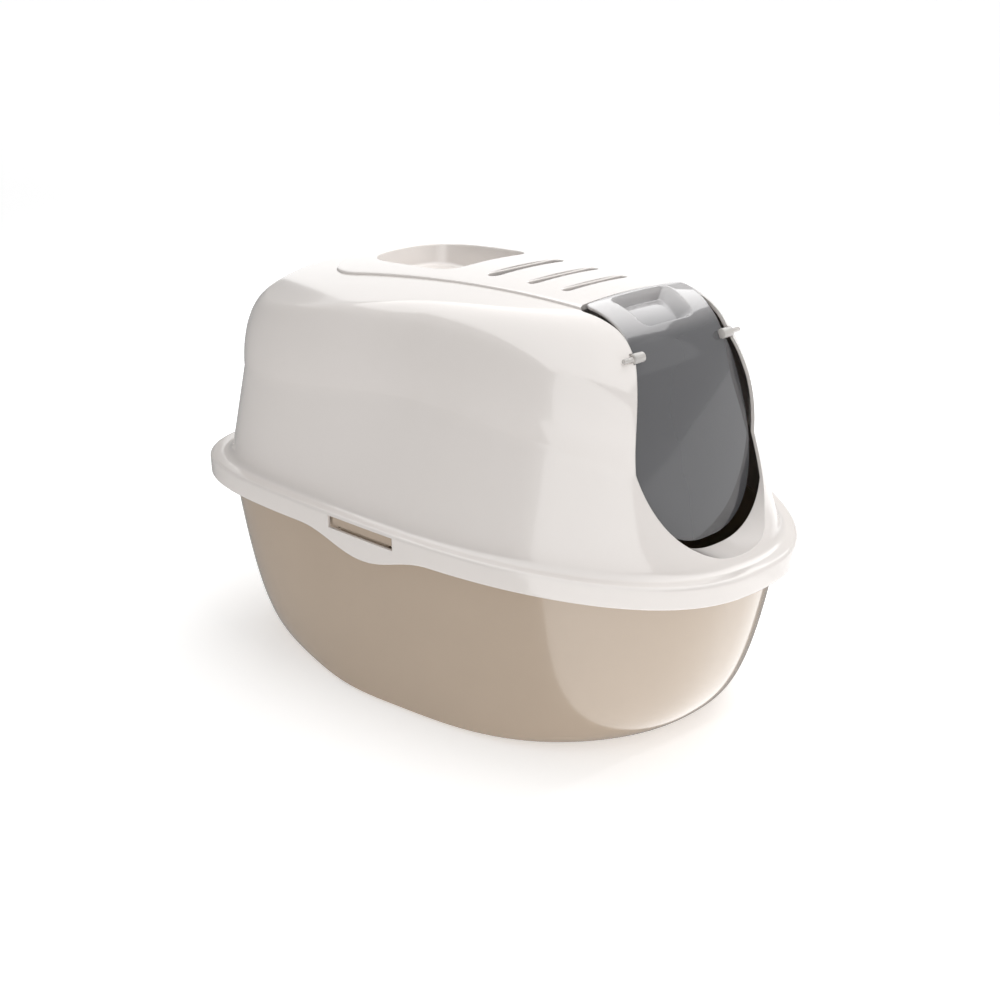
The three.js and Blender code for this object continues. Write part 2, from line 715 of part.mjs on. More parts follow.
/** Tub wall point. Rise 0 is the floor's edge and 1 the skirt's lower edge. */
function tubPoint(direction, rise, inset) {
  const top = planPoint(direction, tubTopPlans[inset ? 1 : 0]);
  const floor = planPoint(direction, tubFloorPlan);
  const z = mix(footHeight, skirtBottom, rise ** around(bulge, direction)) + inset * (1 - rise);
  const shrink = 1 - inset / Math.hypot(...floor);
  return [mix(floor[0] * shrink, top[0], rise), mix(floor[1] * shrink, top[1], rise), z];
}
const tubTopPlans = [insetPlan(tubInset), insetPlan(tubInset + tubWall)];

/** Flat face on the underside, where a foot sits. */
function footSeat(x, y) {
  return rod([x, y, footHeight - 1], [x, y, footHeight + footSeatDepth], footRadius + 0.4, 28);
}

const footPlaces = {
  foot_front_left: [-footSpan.frontX, footSpan.frontY],
  foot_front_right: [footSpan.frontX, footSpan.frontY],
  foot_rear_left: [-footSpan.rearX, footSpan.rearY],
  foot_rear_right: [footSpan.rearX, footSpan.rearY],
};

// Latch hinge, in the window's frame.
const latchAxisOut = -skirtWall - latchBarrelRadius - 1;
const latchAxisZ = windowBottom - latchPinDrop + windowHeight / 2;
const latchHalf = windowLength / 2 - latchGap;
const earPlace = latchHalf - 8;

/** Ears on the tub's wall that hold the latch pin. */
function latchEars() {
  let body = null;
  for (const side of [-1, 1]) {
    const near = side * earPlace;
    const far = side * (earPlace + latchEarLength);
    const low = [-tubInset - 6, Math.min(near, far), latchAxisZ - 3.4];
    const high = [latchAxisOut + 2.4, Math.max(near, far), latchAxisZ + 3.4];
    body = body ? body.add(besideWindow(low, high)) : besideWindow(low, high);
  }
  const reach = earPlace + latchEarLength + 2;
  const bore = rod(fromWindow([latchAxisOut, -reach, latchAxisZ]),
    fromWindow([latchAxisOut, reach, latchAxisZ]), latchPinRadius + 0.3, 16);
  return body.subtract(bore);
}

function tubShape() {
  const rises = [0, 0.12, 0.25, 0.38, 0.5, 0.62, 0.74, 0.86, 1];
  const outside = rises.map((rise) => directions.map((d) => tubPoint(d, rise, 0)));
  const inside = rises.map((rise) => directions.map((d) => tubPoint(d, rise, tubWall)));
  const rimOut = skirtWall + rimClearance;
  const rim = [
    [tubInset, tubTop - rimThickness],
    [rimOut + rimThickness, tubTop - rimThickness],
    [rimOut + rimThickness - 0.5, tubTop - rimLip],
    [rimOut, tubTop - rimLip],
    [rimOut, tubTop - 1.2],
    [rimOut + 1.2, tubTop],
    [tubInset + tubWall, tubTop],
  ].map(([inset, z]) => skirtRing(inset, () => z));
  let body = loft([...outside, ...rim, ...inside.reverse()]);
  const notch = besideWindow([-tubInset + 0.5, -windowLength / 2 - 3, windowBottom - 6],
    [2, windowLength / 2 + 3, tubTop + 2]);
  const ears = latchEars();
  const hollow = tubHollow();
  body = body.subtract(notch).subtract(mirrored(notch));
  body = body.add(ears.subtract(hollow)).add(mirrored(ears).subtract(hollow));
  for (const place of Object.values(footPlaces)) body = body.subtract(footSeat(...place));
  return body;
}

/** The tub's inner space, which keeps ears out of the litter. */
function tubHollow() {
  const rises = [0, 0.25, 0.5, 0.74, 1];
  const rings = rises.map((rise) => directions.map((d) => tubPoint(d, rise, tubWall)));
  return loft([...rings, skirtRing(tubInset + tubWall, () => tubTop + 5)]);
}

/** A foot: a low round pad, set in the tub's underside. */
function footShape(x, y) {
  return rod([x, y, 0], [x, y, footHeight + footSeatDepth - 0.3], footRadius, 28);
}

// ---- latch --------------------------------------------------------------------------------------
/** Press latch: a pad in the window, a plate behind the skirt and a barrel on the pin. */
function latchShape() {
  const padFace = -skirtWall - latchSetBack;
  const pad = besideWindow([padFace - latchThickness, -latchHalf, windowBottom + latchGap],
    [padFace, latchHalf, windowTop - latchGap]);
  const plate = besideWindow([latchAxisOut - 1.2, -earPlace + 1, latchAxisZ],
    [padFace - 0.8, earPlace - 1, windowTop - latchGap]);
  const barrel = rod(fromWindow([latchAxisOut, -earPlace + 1, latchAxisZ]),
    fromWindow([latchAxisOut, earPlace - 1, latchAxisZ]), latchBarrelRadius);
  const bore = rod(fromWindow([latchAxisOut, -earPlace - 1, latchAxisZ]),
    fromWindow([latchAxisOut, earPlace + 1, latchAxisZ]), latchPinRadius + 0.3, 16);
  return pad.add(plate).add(barrel).subtract(bore);
}

/** Steel pin of a latch. */
function latchPinShape() {
  const reach = earPlace + latchEarLength;
  return rod(fromWindow([latchAxisOut, -reach, latchAxisZ]),
    fromWindow([latchAxisOut, reach, latchAxisZ]), latchPinRadius, 16);
}

// ---- filter -------------------------------------------------------------------------------------
/** Tray with a barred floor, hinge pins at the rear and a nib for the catch at the front. */
function trayShape() {
  const floor = trayLevel - tray.height;
  const w = tray.halfWidth;
  let body = block([-w, tray.front, floor], [w, tray.rear, trayLevel]);
  body = body.subtract(block([-w + tray.wall, tray.front + tray.wall, floor + tray.wall],
    [w - tray.wall, tray.rear - tray.wall, trayLevel + 1]));
  const pitch = (2 * w - 2 * tray.wall - tray.bar) / tray.bars;
  for (const index of range(tray.bars)) {
    const x = -w + tray.wall + tray.bar + index * pitch;
    body = body.subtract(block([x, tray.front + 8, floor - 1], [x + pitch - tray.bar, tray.rear - 8, floor + 3]));
  }
  for (const side of [-1, 1]) {
    const inner = side * (hookHalfGap - 2.4);
    const arm = side * (hookHalfGap - 0.6);
    const low = [Math.min(inner, arm), tray.rear - 1, trayAxisZ - 3];
    body = body.add(block(low, [Math.max(inner, arm), trayAxisY + 3, trayAxisZ + 3]));
    const pinFrom = [inner, trayAxisY, trayAxisZ];
    body = body.add(rod(pinFrom, [side * (hookHalfGap - 0.6) + side * trayPinOverhang, trayAxisY, trayAxisZ],
      trayPinRadius, 16));
  }
  return body;
}

/** Charcoal pad that lies in the tray. */
function padShape() {
  const floor = trayLevel - tray.height + tray.wall + 0.3;
  const side = tray.halfWidth - tray.wall - filterPad.gap;
  return block([-side, tray.front + tray.wall + filterPad.gap, floor],
    [side, tray.rear - tray.wall - filterPad.gap, floor + filterPad.thickness]);
}

// ---- assembly -----------------------------------------------------------------------------------
const model = new THREE.Group();

/** Adds a solid to the model as a named mesh. */
function place(name, body, material) {
  const mesh = body.getMesh();
  const geometry = new THREE.BufferGeometry();
  geometry.setAttribute('position', new THREE.Float32BufferAttribute(mesh.vertProperties, 3));
  geometry.setIndex(new THREE.Uint32BufferAttribute(mesh.triVerts, 1));
  const flat = geometry.toNonIndexed();
  flat.computeVertexNormals();
  const node = new THREE.Mesh(flat, material);
  node.name = name;
  model.add(node);
}

place('base_pan', tubShape(), taupe);
place('hood_shell', hoodShape(), white);
place('swing_door', doorShape(), smoked);
place('door_pivot_right', pivotShape(), clear);
place('door_pivot_left', mirrored(pivotShape()), clear);
place('latch_right', latchShape(), taupe);
place('latch_left', mirrored(latchShape()), taupe);
place('latch_pin_right', latchPinShape(), steel);
place('latch_pin_left', mirrored(latchPinShape()), steel);
place('filter_tray', trayShape(), white);
place('filter_pad', padShape(), charcoal);
for (const [name, [x, y]] of Object.entries(footPlaces)) place(name, footShape(x, y), rubber);

export default model;
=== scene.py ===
"""Cat litter box with a hood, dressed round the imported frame.

Every piece is worked out in millimetres with whole numpy arrays, in the frame's own axes (door
towards -Y, X across, +Z up), and put into its mesh in metres.
"""
import logging
import math
from collections.abc import Callable, Sequence
from dataclasses import dataclass, field
from enum import Enum

import bpy
import numpy as np
from mathutils import Matrix, Vector


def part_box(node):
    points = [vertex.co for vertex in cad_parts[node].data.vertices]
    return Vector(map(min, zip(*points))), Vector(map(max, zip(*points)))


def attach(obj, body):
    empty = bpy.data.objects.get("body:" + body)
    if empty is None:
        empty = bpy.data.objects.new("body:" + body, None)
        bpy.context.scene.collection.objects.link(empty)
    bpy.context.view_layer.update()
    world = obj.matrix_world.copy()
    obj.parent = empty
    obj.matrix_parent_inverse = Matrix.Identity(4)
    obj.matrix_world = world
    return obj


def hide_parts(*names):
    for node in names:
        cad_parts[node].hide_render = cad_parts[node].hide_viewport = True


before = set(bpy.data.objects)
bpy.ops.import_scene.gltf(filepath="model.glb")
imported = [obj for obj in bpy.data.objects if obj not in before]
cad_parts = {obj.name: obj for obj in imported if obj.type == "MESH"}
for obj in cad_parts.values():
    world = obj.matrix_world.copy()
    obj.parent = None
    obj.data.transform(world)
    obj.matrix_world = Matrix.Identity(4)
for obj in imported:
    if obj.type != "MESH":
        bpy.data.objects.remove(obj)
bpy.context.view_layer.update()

LOG = logging.getLogger("litter_box")
MM = 0.001


# ---- small tools --------------------------------------------------------------------------------
def mix(
    start: np.ndarray | float, end: np.ndarray | float, share: np.ndarray | float
) -> np.ndarray | float:
    """Straight blend from start to end by a share, on numbers or arrays."""
    return start + (end - start) * share


def soft_clamp(value: np.ndarray, softness: float) -> np.ndarray:
    """Value held between 0 and 1, with both corners rounded.

    Formula: half of (root(v^2 + s^2) - root((v - 1)^2 + s^2) + 1).

    Args:
        value: the numbers to hold.
        softness: how wide the rounding is, in the same unit.
    Returns:
        The held numbers.
    """
    return 0.5 * (np.sqrt(value**2 + softness**2) - np.sqrt((value - 1) ** 2 + softness**2) + 1)


def signed_volume(points: np.ndarray, faces: list[list[int]]) -> float:
    """Six times the volume inside closed faces: the sum of the triple products of each fan.

    Args:
        points: the places.
        faces: corner numbers of each face.
    Returns:
        Six times the volume.
    """
    size = max(len(face) for face in faces)
    padded = np.array([face + [face[-1]] * (size - len(face)) for face in faces])
    first = points[padded[:, 0]]
    total = 0.0
    for corner in range(1, size - 1):
        pair = np.cross(points[padded[:, corner]], points[padded[:, corner + 1]])
        total += float(np.einsum("ij,ij->", first, pair))
    return total


class Join(Enum):
    """Ways in which one solid acts on another."""

    ADD = "UNION"
    CUT = "DIFFERENCE"
    KEEP = "INTERSECT"


class Solid:
    """A closed mesh that other solids are added to or cut from."""

    def __init__(self, name: str, points: np.ndarray, faces: list[list[int]]) -> None:
        """Makes the mesh, with its faces turned outwards.

        Args:
            name: the piece's name.
            points: N x 3 places in millimetres.
            faces: corner numbers of each face.
        """
        if signed_volume(points, faces) < 0:
            faces = [face[::-1] for face in faces]
        mesh = bpy.data.meshes.new(name)
        mesh.from_pydata((points * MM).tolist(), [], faces)
        mesh.update()
        self.obj = bpy.data.objects.new(name, mesh)
        bpy.context.scene.collection.objects.link(self.obj)

    def act(self, how: Join, *others: "Solid") -> "Solid":
        """Adds, cuts or keeps other solids, which are used up.

        Args:
            how: what the others do.
            others: the solids that act, one after another.
        Returns:
            This solid.
        """
        for other in others:
            step = self.obj.modifiers.new("act", "BOOLEAN")
            step.operation = how.value
            step.solver = "MANIFOLD"
            step.object = other.obj
            bpy.context.view_layer.update()
            graph = bpy.context.evaluated_depsgraph_get()
            made = bpy.data.meshes.new_from_object(self.obj.evaluated_get(graph))
            self.obj.modifiers.clear()
            old = self.obj.data
            if len(made.polygons) == 0:
                raise RuntimeError(f"{self.obj.name}: nothing is left after {other.obj.name}")
            self.obj.data = made
            bpy.data.meshes.remove(old)
            bpy.data.objects.remove(other.obj)
        return self

    def smooth(self, degrees: float) -> "Solid":
        """Shades the faces smooth, with edges sharper than an angle kept crisp."""
        self.obj.data.shade_smooth()
        self.obj.data.set_sharp_from_angle(angle=math.radians(degrees))
        return self


def ring_faces(rows: int, count: int) -> list[list[int]]:
    """Quads between neighbouring closed rings of equal count.

    Args:
        rows: how many rings.
        count: points in each ring.
    Returns:
        The corner numbers of each quad.
    """
    index = np.arange(rows * count).reshape(rows, count)
    here, after = index[:-1], index[1:]
    quads = np.stack([here, np.roll(here, -1, 1), np.roll(after, -1, 1), after], -1)
    return quads.reshape(-1, 4).tolist()


def loft(name: str, rings: np.ndarray) -> Solid:
    """Closed skin over rings, its ends closed on the mean of the first and last ring.

    Args:
        name: the piece's name.
        rings: rows x count x 3 places in millimetres.
    Returns:
        The solid.
    """
    rings = np.asarray(rings, float)
    rows, count, _ = rings.shape
    ends = rings[[0, -1]].mean(1)
    points = np.vstack([rings.reshape(-1, 3), ends])
    column = np.arange(count)
    after = (column + 1) % count
    last = (rows - 1) * count
    low = np.stack([after, column, np.full(count, rows * count)], -1)
    high = np.stack([last + column, last + after, np.full(count, rows * count + 1)], -1)
    return Solid(name, points, ring_faces(rows, count) + low.tolist() + high.tolist())


def rod(
    name: str,
    start: Sequence[float],
    end: Sequence[float],
    profile: Sequence[tuple[float, float]],
    sides: int = 48,
) -> Solid:
    """Turned piece: radii along a straight line, carried round it.

    Formula: place = start + along * line + radius * (cos a * side + sin a * up).

    Args:
        name: the piece's name.
        start: where the line starts.
        end: where it ends.
        profile: (share along the line, radius) pairs.
        sides: points round the line.
    Returns:
        The solid.
    """
    start, end = np.asarray(start, float), np.asarray(end, float)
    line = end - start
    axis = line / np.linalg.norm(line)
    helper = np.array([0.0, 0.0, 1.0]) if abs(axis[2]) < 0.9 else np.array([1.0, 0.0, 0.0])
    side = np.cross(helper, axis)
    side /= np.linalg.norm(side)
    up = np.cross(axis, side)
    share, radius = np.array(profile, float).T
    angle = np.arange(sides) * 2 * np.pi / sides
    turn = np.cos(angle)[:, None] * side + np.sin(angle)[:, None] * up
    rings = start + share[:, None, None] * line + radius[:, None, None] * turn[None]
    return loft(name, rings)


def plain_rod(
    name: str, start: Sequence[float], end: Sequence[float], radius: float, sides: int = 32
) -> Solid:
    """Plain cylinder between two places."""
    return rod(name, start, end, [(0, radius), (1, radius)], sides)


def rounded_profile(
    length: float, radius: float, edge: float, steps: int = 5
) -> list[tuple[float, float]]:
    """Radii of a cylinder whose two edges are rounded by quarter circles of a radius.

    Args:
        length: the cylinder's length.
        radius: its radius.
        edge: the radius of its edges.
        steps: places on each edge.
    Returns:
        (share along the line, radius) pairs.
    """
    turn = np.linspace(0, np.pi / 2, steps)
    share = edge * (1 - np.cos(turn)) / length
    radii = radius - edge * (1 - np.sin(turn))
    start = list(zip(share, radii))
    return start + [(1 - s, r) for s, r in start[::-1]]


def prism(name: str, outline: np.ndarray, axis: int, low: float, high: float) -> Solid:
    """Outline drawn in the two other axes, carried straight along one axis.

    Args:
        name: the piece's name.
        outline: N x 2 places.
        axis: 0, 1 or 2 for X, Y or Z.
        low: where it starts.
        high: where it ends.
    Returns:
        The solid.
    """
    others = [number for number in range(3) if number != axis]
    rings = np.zeros((2, len(outline), 3))
    rings[:, :, others] = outline
    rings[0, :, axis] = low
    rings[1, :, axis] = high
    count = len(outline)
    faces = ring_faces(2, count) + [list(range(count))[::-1], list(range(count, 2 * count))]
    return Solid(name, rings.reshape(-1, 3), faces)


def block(name: str, low: Sequence[float], high: Sequence[float]) -> Solid:
    """Box between two opposite corners."""
    low, high = np.asarray(low, float), np.asarray(high, float)
    outline = np.array([[low[0], low[1]], [high[0], low[1]], [high[0], high[1]], [low[0], high[1]]])
    return prism(name, outline, 2, low[2], high[2])


# ---- outlines and surfaces ----------------------------------------------------------------------
@dataclass(frozen=True)
class Plan:
    """Egg outline: a superellipse with its own power in front and behind, wider towards +Y."""

    half_width: float
    front: float
    rear: float
    front_power: float = 2.5
    rear_power: float = 4.5
    flare: float = 0.24

    def raw(self, direction: np.ndarray) -> tuple[np.ndarray, np.ndarray]:
        """Outline before its width is scaled: k = (|cos|^n + |sin|^n)^(-1/n).

        Args:
            direction: angles round the outline.
        Returns:
            X and Y.
        """
        c, s = np.cos(direction), np.sin(direction)
        power = np.where(s < 0, self.front_power, self.rear_power)
        reach = np.where(s < 0, self.front, self.rear)
        k = (np.abs(c) ** power + np.abs(s) ** power) ** (-1 / power)
        y = reach * s * k
        return c * k * (1 + self.flare * y / 270), y

    def at(self, direction: np.ndarray) -> tuple[np.ndarray, np.ndarray]:
        """X and Y of the outline, scaled so that its widest place is the half-width."""
        peak = self.raw(np.arange(181) * np.pi / 360)[0].max()
        x, y = self.raw(direction)
        return self.half_width * x / peak, y


def inset_plan(inset: float) -> Plan:
    """The box's overall outline, moved in by a distance."""
    return Plan(205 - inset, 270 - inset, 270 - inset)


def around(values: tuple[float, float, float], direction: np.ndarray) -> np.ndarray:
    """Value for a direction from a side, a rear and a front value, blended by sin squared."""
    s = np.sin(direction)
    return mix(values[0], np.where(s < 0, values[2], values[1]), s * s)


def roof_height(x: np.ndarray | float, y: np.ndarray | float) -> np.ndarray | float:
    """Crowned roof sheet: 366 less .00096 x^2 and less a share of the square of y's way to -106."""
    along = np.where(np.asarray(y) > -106, 0.00023, 0.00044)
    return 366 - 0.00096 * np.square(x) - along * np.square(np.asarray(y) + 106)


@dataclass(frozen=True)
class Shell:
    """The hood's outer surface: a leaning wall, an elliptic shoulder and the roof sheet."""

    flange: float = 16
    skirt_top: float = 178
    lean: tuple[float, float, float] = (31, 6, 24)
    reach: tuple[float, float, float] = (44, 18, 84)
    drop: tuple[float, float, float] = (76, 58, 124)

    def point(self, direction: np.ndarray, stage: np.ndarray, inset: float = 0.0) -> np.ndarray:
        """Places on the shell; stage 0 to 1 is the wall, 1 to 2 the shoulder, 2 to 3 the roof.

        The wall and shoulder are the foot outline shrunk towards the middle by the lean and by
        reach * (1 - cos turn), raised by drop * sin turn; the roof is the roof sheet itself.

        Args:
            direction: directions round the box.
            stage: stages, of the same shape.
            inset: distance inside the outer face.
        Returns:
            Places, with one more axis of 3.
        """
        foot_x, foot_y = inset_plan(self.flange + inset).at(direction)
        rho = np.hypot(foot_x, foot_y)
        reach = around(self.reach, direction) - inset
        drop = around(self.drop, direction) - inset
        lean = around(self.lean, direction)
        sweep = np.full_like(rho, 1.35)
        for _ in range(4):
            share = (rho - lean - reach * (1 - np.cos(sweep))) / rho
            end_x, end_y = foot_x * share, foot_y * share
            fall = roof_height(end_x * 0.98, end_y * 0.98) - roof_height(end_x, end_y)
            sweep = np.arctan2(drop / reach, np.maximum(fall / (0.02 * rho * share), 0.01))
        wall_top = roof_height(end_x, end_y) - inset - drop * np.sin(sweep)
        on_wall = np.clip(stage, 0, 1)
        turn = sweep * np.clip(stage - 1, 0, 1)
        share = (rho - lean * on_wall - reach * (1 - np.cos(turn))) / rho
        x, y = foot_x * share, foot_y * share
        z = mix(self.skirt_top, wall_top, on_wall) + drop * np.sin(turn)
        y = y + self.door_flatness(x, y, z)
        on_roof = stage > 2
        x = np.where(on_roof, end_x * (3 - stage), x)
        y = np.where(on_roof, end_y * (3 - stage), y)
        z = np.where(on_roof, roof_height(x, y) - inset, z)
        return np.stack([x, y, z], -1)

    @staticmethod
    def door_flatness(x: np.ndarray, y: np.ndarray, z: np.ndarray) -> np.ndarray:
        """How far the face round the door is pulled back: 7 mm within a soft-edged patch."""
        low = 1 / (1 + np.exp((195 - z) / 14 * 4))
        high = 1 / (1 + np.exp((z - 345) / 14 * 4))
        return np.where(y > 0, 0.0, 7 * low * high * np.exp(-((x / 72) ** 4)))

    def rings(self, stages: np.ndarray, directions: np.ndarray, inset: float = 0.0) -> np.ndarray:
        """Rings of the shell, one for each stage."""
        stage, direction = np.meshgrid(stages, directions, indexing="ij")
        return self.point(direction, stage, inset)


@dataclass(frozen=True)
class Doorway:
    """The door opening: its lower part seen from the front, its upper part from above."""

    half_width: float = 69.5
    widest: float = 266
    bottom: float = 184.5
    roundness: float = 2.4
    top_half_width: float = 54
    top_flare: float = 3
    rear: float = -118.5
    leaf_rear: float = -123
    corner: float = 9
    pivot_y: float = -178.5
    pivot_z: float = 337

    def half_width_at(self, z: np.ndarray) -> np.ndarray:
        """Half-width by height: a power curve above the widest place, a superellipse below.

        Args:
            z: heights.
        Returns:
            Half-widths.
        """
        high = np.clip((z - self.widest) / (self.pivot_z - self.widest), 0, 1)
        above = self.half_width - (self.half_width - self.top_half_width) * high**1.7
        low = np.clip((self.widest - z) / (self.widest - self.bottom), 0, 1)
        below = self.half_width * (1 - low**self.roundness) ** (1 / self.roundness)
        return np.where(z >= self.widest, above, below)

    def lower(self, margin: float, top: float) -> np.ndarray:
        """Closed outline in X and Z, made larger by a margin.

        Args:
            margin: how much larger it is.
            top: the height where it ends.
        Returns:
            N x 2 places.
        """
        deep = self.widest - self.bottom
        angle = np.linspace(0, np.pi / 2, 61)
        z = self.widest - deep * np.sin(angle)
        wide = self.half_width_at(z) * (self.half_width + margin) / self.half_width
        curve = np.stack([wide, self.widest - (self.widest - z) * (deep + margin) / deep], -1)
        z = np.linspace(top, self.widest, 30, endpoint=False)
        side = np.stack([self.half_width_at(np.minimum(z, self.pivot_z)) + margin, z], -1)
        side = np.vstack([side, curve])
        return np.vstack([side, side[-2::-1] * [-1, 1]])

    def upper(self, margin: float, front: float) -> np.ndarray:
        """Closed outline in X and Y, with its rear corners rounded.

        Args:
            margin: how much larger it is.
            front: the Y where it ends.
        Returns:
            N x 2 places.
        """
        half = self.top_half_width + margin
        rear = self.rear + margin if margin >= 0 else self.leaf_rear
        radius = self.corner + min(margin, 0) / 2
        angle = np.linspace(0, np.pi / 2, 14)
        x = half + self.top_flare - radius + radius * np.cos(angle)
        y = rear - radius + radius * np.sin(angle)
        waist = self.pivot_y + 18.2
        side = np.vstack([[[half, front], [half, waist]], np.stack([x, y], -1)])
        return np.vstack([side, side[::-1] * [-1, 1]])

    def upper_half_width(self, y: np.ndarray) -> np.ndarray:
        """Half-width of the leaf seen from above, by Y.

        Args:
            y: places along Y.
        Returns:
            Half-widths.
        """
        half, radius = self.top_half_width - 2.5, self.corner - 1.25
        bend = self.leaf_rear - radius
        waist = self.pivot_y + 18.2
        share = np.clip((y - waist) / (bend - waist), 0, 1)
        past = np.clip((y - bend) / radius, 0, 1)
        return half + self.top_flare * share - radius * (1 - np.sqrt(1 - past**2))


# ---- finishes -----------------------------------------------------------------------------------
def linear(code: str) -> tuple[float, float, float, float]:
    """sRGB hex as linear RGBA, by the sRGB curve.

    Args:
        code: six hex digits.
    Returns:
        Linear red, green, blue and 1.
    """
    parts = [int(code[start : start + 2], 16) / 255 for start in (0, 2, 4)]
    turned = [v / 12.92 if v <= 0.04045 else ((v + 0.055) / 1.055) ** 2.4 for v in parts]
    return (*turned, 1.0)


def add_node(
    tree: bpy.types.NodeTree,
    kind: str,
    values: dict | None = None,
    links: dict | None = None,
    **settings: str | float | bool,
) -> bpy.types.Node:
    """Adds one node with its settings, its socket values and what feeds its sockets.

    Args:
        tree: the node tree.
        kind: the node's type name.
        values: socket name or number to value.
        links: socket name or number to the output that feeds it.
        settings: the node's own properties.
    Returns:
        The node.
    """
    node = tree.nodes.new(kind)
    for name, value in settings.items():
        setattr(node, name, value)
    for name, value in (values or {}).items():
        node.inputs[name].default_value = value
    for name, output in (links or {}).items():
        tree.links.new(output, node.inputs[name])
    return node


@dataclass(frozen=True)
class Finish:
    """A moulded plastic's look: colour, gloss, and the fine waviness that the tool leaves in it."""

    name: str
    colour: str
    second: str
    roughness: float
    ior: float = 1.49
    coat: float = 0.0
    transmission: float = 0.0
    metallic: float = 0.0
    drift_mm: float = 90.0
    grain_mm: float = 3.0
    grain_depth: float = 0.01
    gloss_drift: float = 0.04
    edge_mm: float = 0.0
    # Painted reflection: the colour that the surface is painted towards between two heights,
    # standing in for a light's glare.
    pale: str = ""
    glare_from_mm: float = 0.0
    glare_to_mm: float = 1.0

    def build(self) -> bpy.types.Material:
        """Makes the material: slow colour drift, uneven gloss, a bump of fine grain, and, where a
        pale colour is given, a painted reflection that pales the colour between two heights.

        Returns:
            The material.
        """
        material = bpy.data.materials.new(self.name)
        material.use_nodes = True
        tree = material.node_tree
        tree.nodes.clear()
        place = add_node(tree, "ShaderNodeTexCoord").outputs["Object"]
        slow = add_node(
            tree,
            "ShaderNodeTexNoise",
            {"Scale": 1 / (self.drift_mm * MM), "Detail": 3.0, "Roughness": 0.5},
            {"Vector": place},
        )
        tint = add_node(
            tree,
            "ShaderNodeMix",
            {6: linear(self.colour), 7: linear(self.second)},
            {0: slow.outputs[0]},
            data_type="RGBA",
        )
        colour = tint.outputs[2]
        # Painted reflection: the colour is blended towards the pale colour from the lower height to
        # the upper one, standing in for glare.
        if self.pale:
            height = add_node(tree, "ShaderNodeSeparateXYZ", links={0: place}).outputs[2]
            rise = add_node(
                tree,
                "ShaderNodeMapRange",
                {1: self.glare_from_mm * MM, 2: self.glare_to_mm * MM},
                {0: height},
                interpolation_type="SMOOTHSTEP",
            )
            light = add_node(
                tree,
                "ShaderNodeMix",
                {7: linear(self.pale)},
                {0: rise.outputs[0], 6: colour},
                data_type="RGBA",
            )
            colour = light.outputs[2]
        gloss = add_node(
            tree,
            "ShaderNodeMapRange",
            {3: self.roughness - self.gloss_drift / 2, 4: self.roughness + self.gloss_drift / 2},
            {0: slow.outputs[0]},
        )
        grain = add_node(
            tree,
            "ShaderNodeTexNoise",
            {"Scale": 1 / (self.grain_mm * MM), "Detail": 2.0},
            {"Vector": place},
        )
        bump = add_node(
            tree,
            "ShaderNodeBump",
            {"Strength": 1.0, "Distance": self.grain_depth * MM},
            {"Height": grain.outputs[0]},
        )
        if self.edge_mm:
            edge = add_node(tree, "ShaderNodeBevel", {"Radius": self.edge_mm * MM}, samples=4)
            tree.links.new(edge.outputs[0], bump.inputs["Normal"])
        values = {
            "IOR": self.ior,
            "Metallic": self.metallic,
            "Coat Weight": self.coat,
            "Coat Roughness": 0.03,
            "Transmission Weight": self.transmission,
        }
        if self.metallic:
            values.pop("IOR")
        surface = add_node(
            tree,
            "ShaderNodeBsdfPrincipled",
            values,
            {
                "Base Color": colour,
                "Roughness": gloss.outputs[0],
                "Normal": bump.outputs[0],
            },
        )
        add_node(tree, "ShaderNodeOutputMaterial", links={0: surface.outputs[0]})
        return material


# Polypropylene from a polished mould: bright, faintly warm, with soft-edged reflections.
WHITE_POLYPROPYLENE = Finish(
    "white_polypropylene", "EEE8E4", "EAE4DF", 0.14, coat=0.6, grain_mm=2.2, grain_depth=0.006,
    gloss_drift=0.03, edge_mm=0.8,
)
# The same plastic, tinted taupe, from a finely blasted mould: satin, with a broad highlight.
TAUPE_POLYPROPYLENE = Finish(
    "taupe_polypropylene", "C2B09D", "BCAA97", 0.17, coat=0.7, grain_mm=1.2, grain_depth=0.02,
    gloss_drift=0.05, edge_mm=0.6,
)
# Smoke-tinted polystyrene: hard, clear and glossy, dark where the hollow box is behind it. From 342
# to 366 mm up, on the leaf's near-level top, its colour is painted paler: a painted reflection of
# the overhead light.
SMOKED_POLYSTYRENE = Finish(
    "smoked_polystyrene", "6C6C6F", "656568", 0.09, ior=1.55, transmission=0.4, coat=0.8,
    grain_mm=4.0, grain_depth=0.004, gloss_drift=0.02, pale="D6D3D3", glare_from_mm=342,
    glare_to_mm=366,
)
# The leaf's moulded edge: a paler copy of the smoked plastic, a painted highlight for the light
# that the rounded edge catches.
SMOKED_EDGE_HIGHLIGHT = Finish(
    "smoked_polystyrene_edge_highlight", "B9B4B1", "AFAAA8", 0.15, ior=1.55, transmission=0.1, coat=0.5,
    grain_mm=4.0, grain_depth=0.004, gloss_drift=0.02,
)
# Natural polypropylene: milky, slightly see-through lugs.
MILKY_POLYPROPYLENE = Finish(
    "milky_polypropylene", "E3DFDB", "DAD6D2", 0.2, transmission=0.35, coat=0.2, gloss_drift=0.03
)
# Thermoplastic rubber: matt and slightly dusty.
FOOT_RUBBER = Finish(
    "foot_rubber", "8D8274", "83786B", 0.72, ior=1.5, grain_mm=0.8, grain_depth=0.05
)
# Open-cell foam soaked in charcoal: black, pitted, with no shine. Cells 1.6 mm so that they show.
CHARCOAL_FOAM = Finish(
    "charcoal_foam", "2B2B2C", "1D1D1E", 0.95, ior=1.45, grain_mm=1.6, grain_depth=0.6
)
# Drawn steel wire: bright, with a faintly uneven drawn skin.
DRAWN_STEEL = Finish(
    "drawn_steel", "B9B9B8", "AEAEAD", 0.3, metallic=1.0, grain_mm=0.6, grain_depth=0.01
)


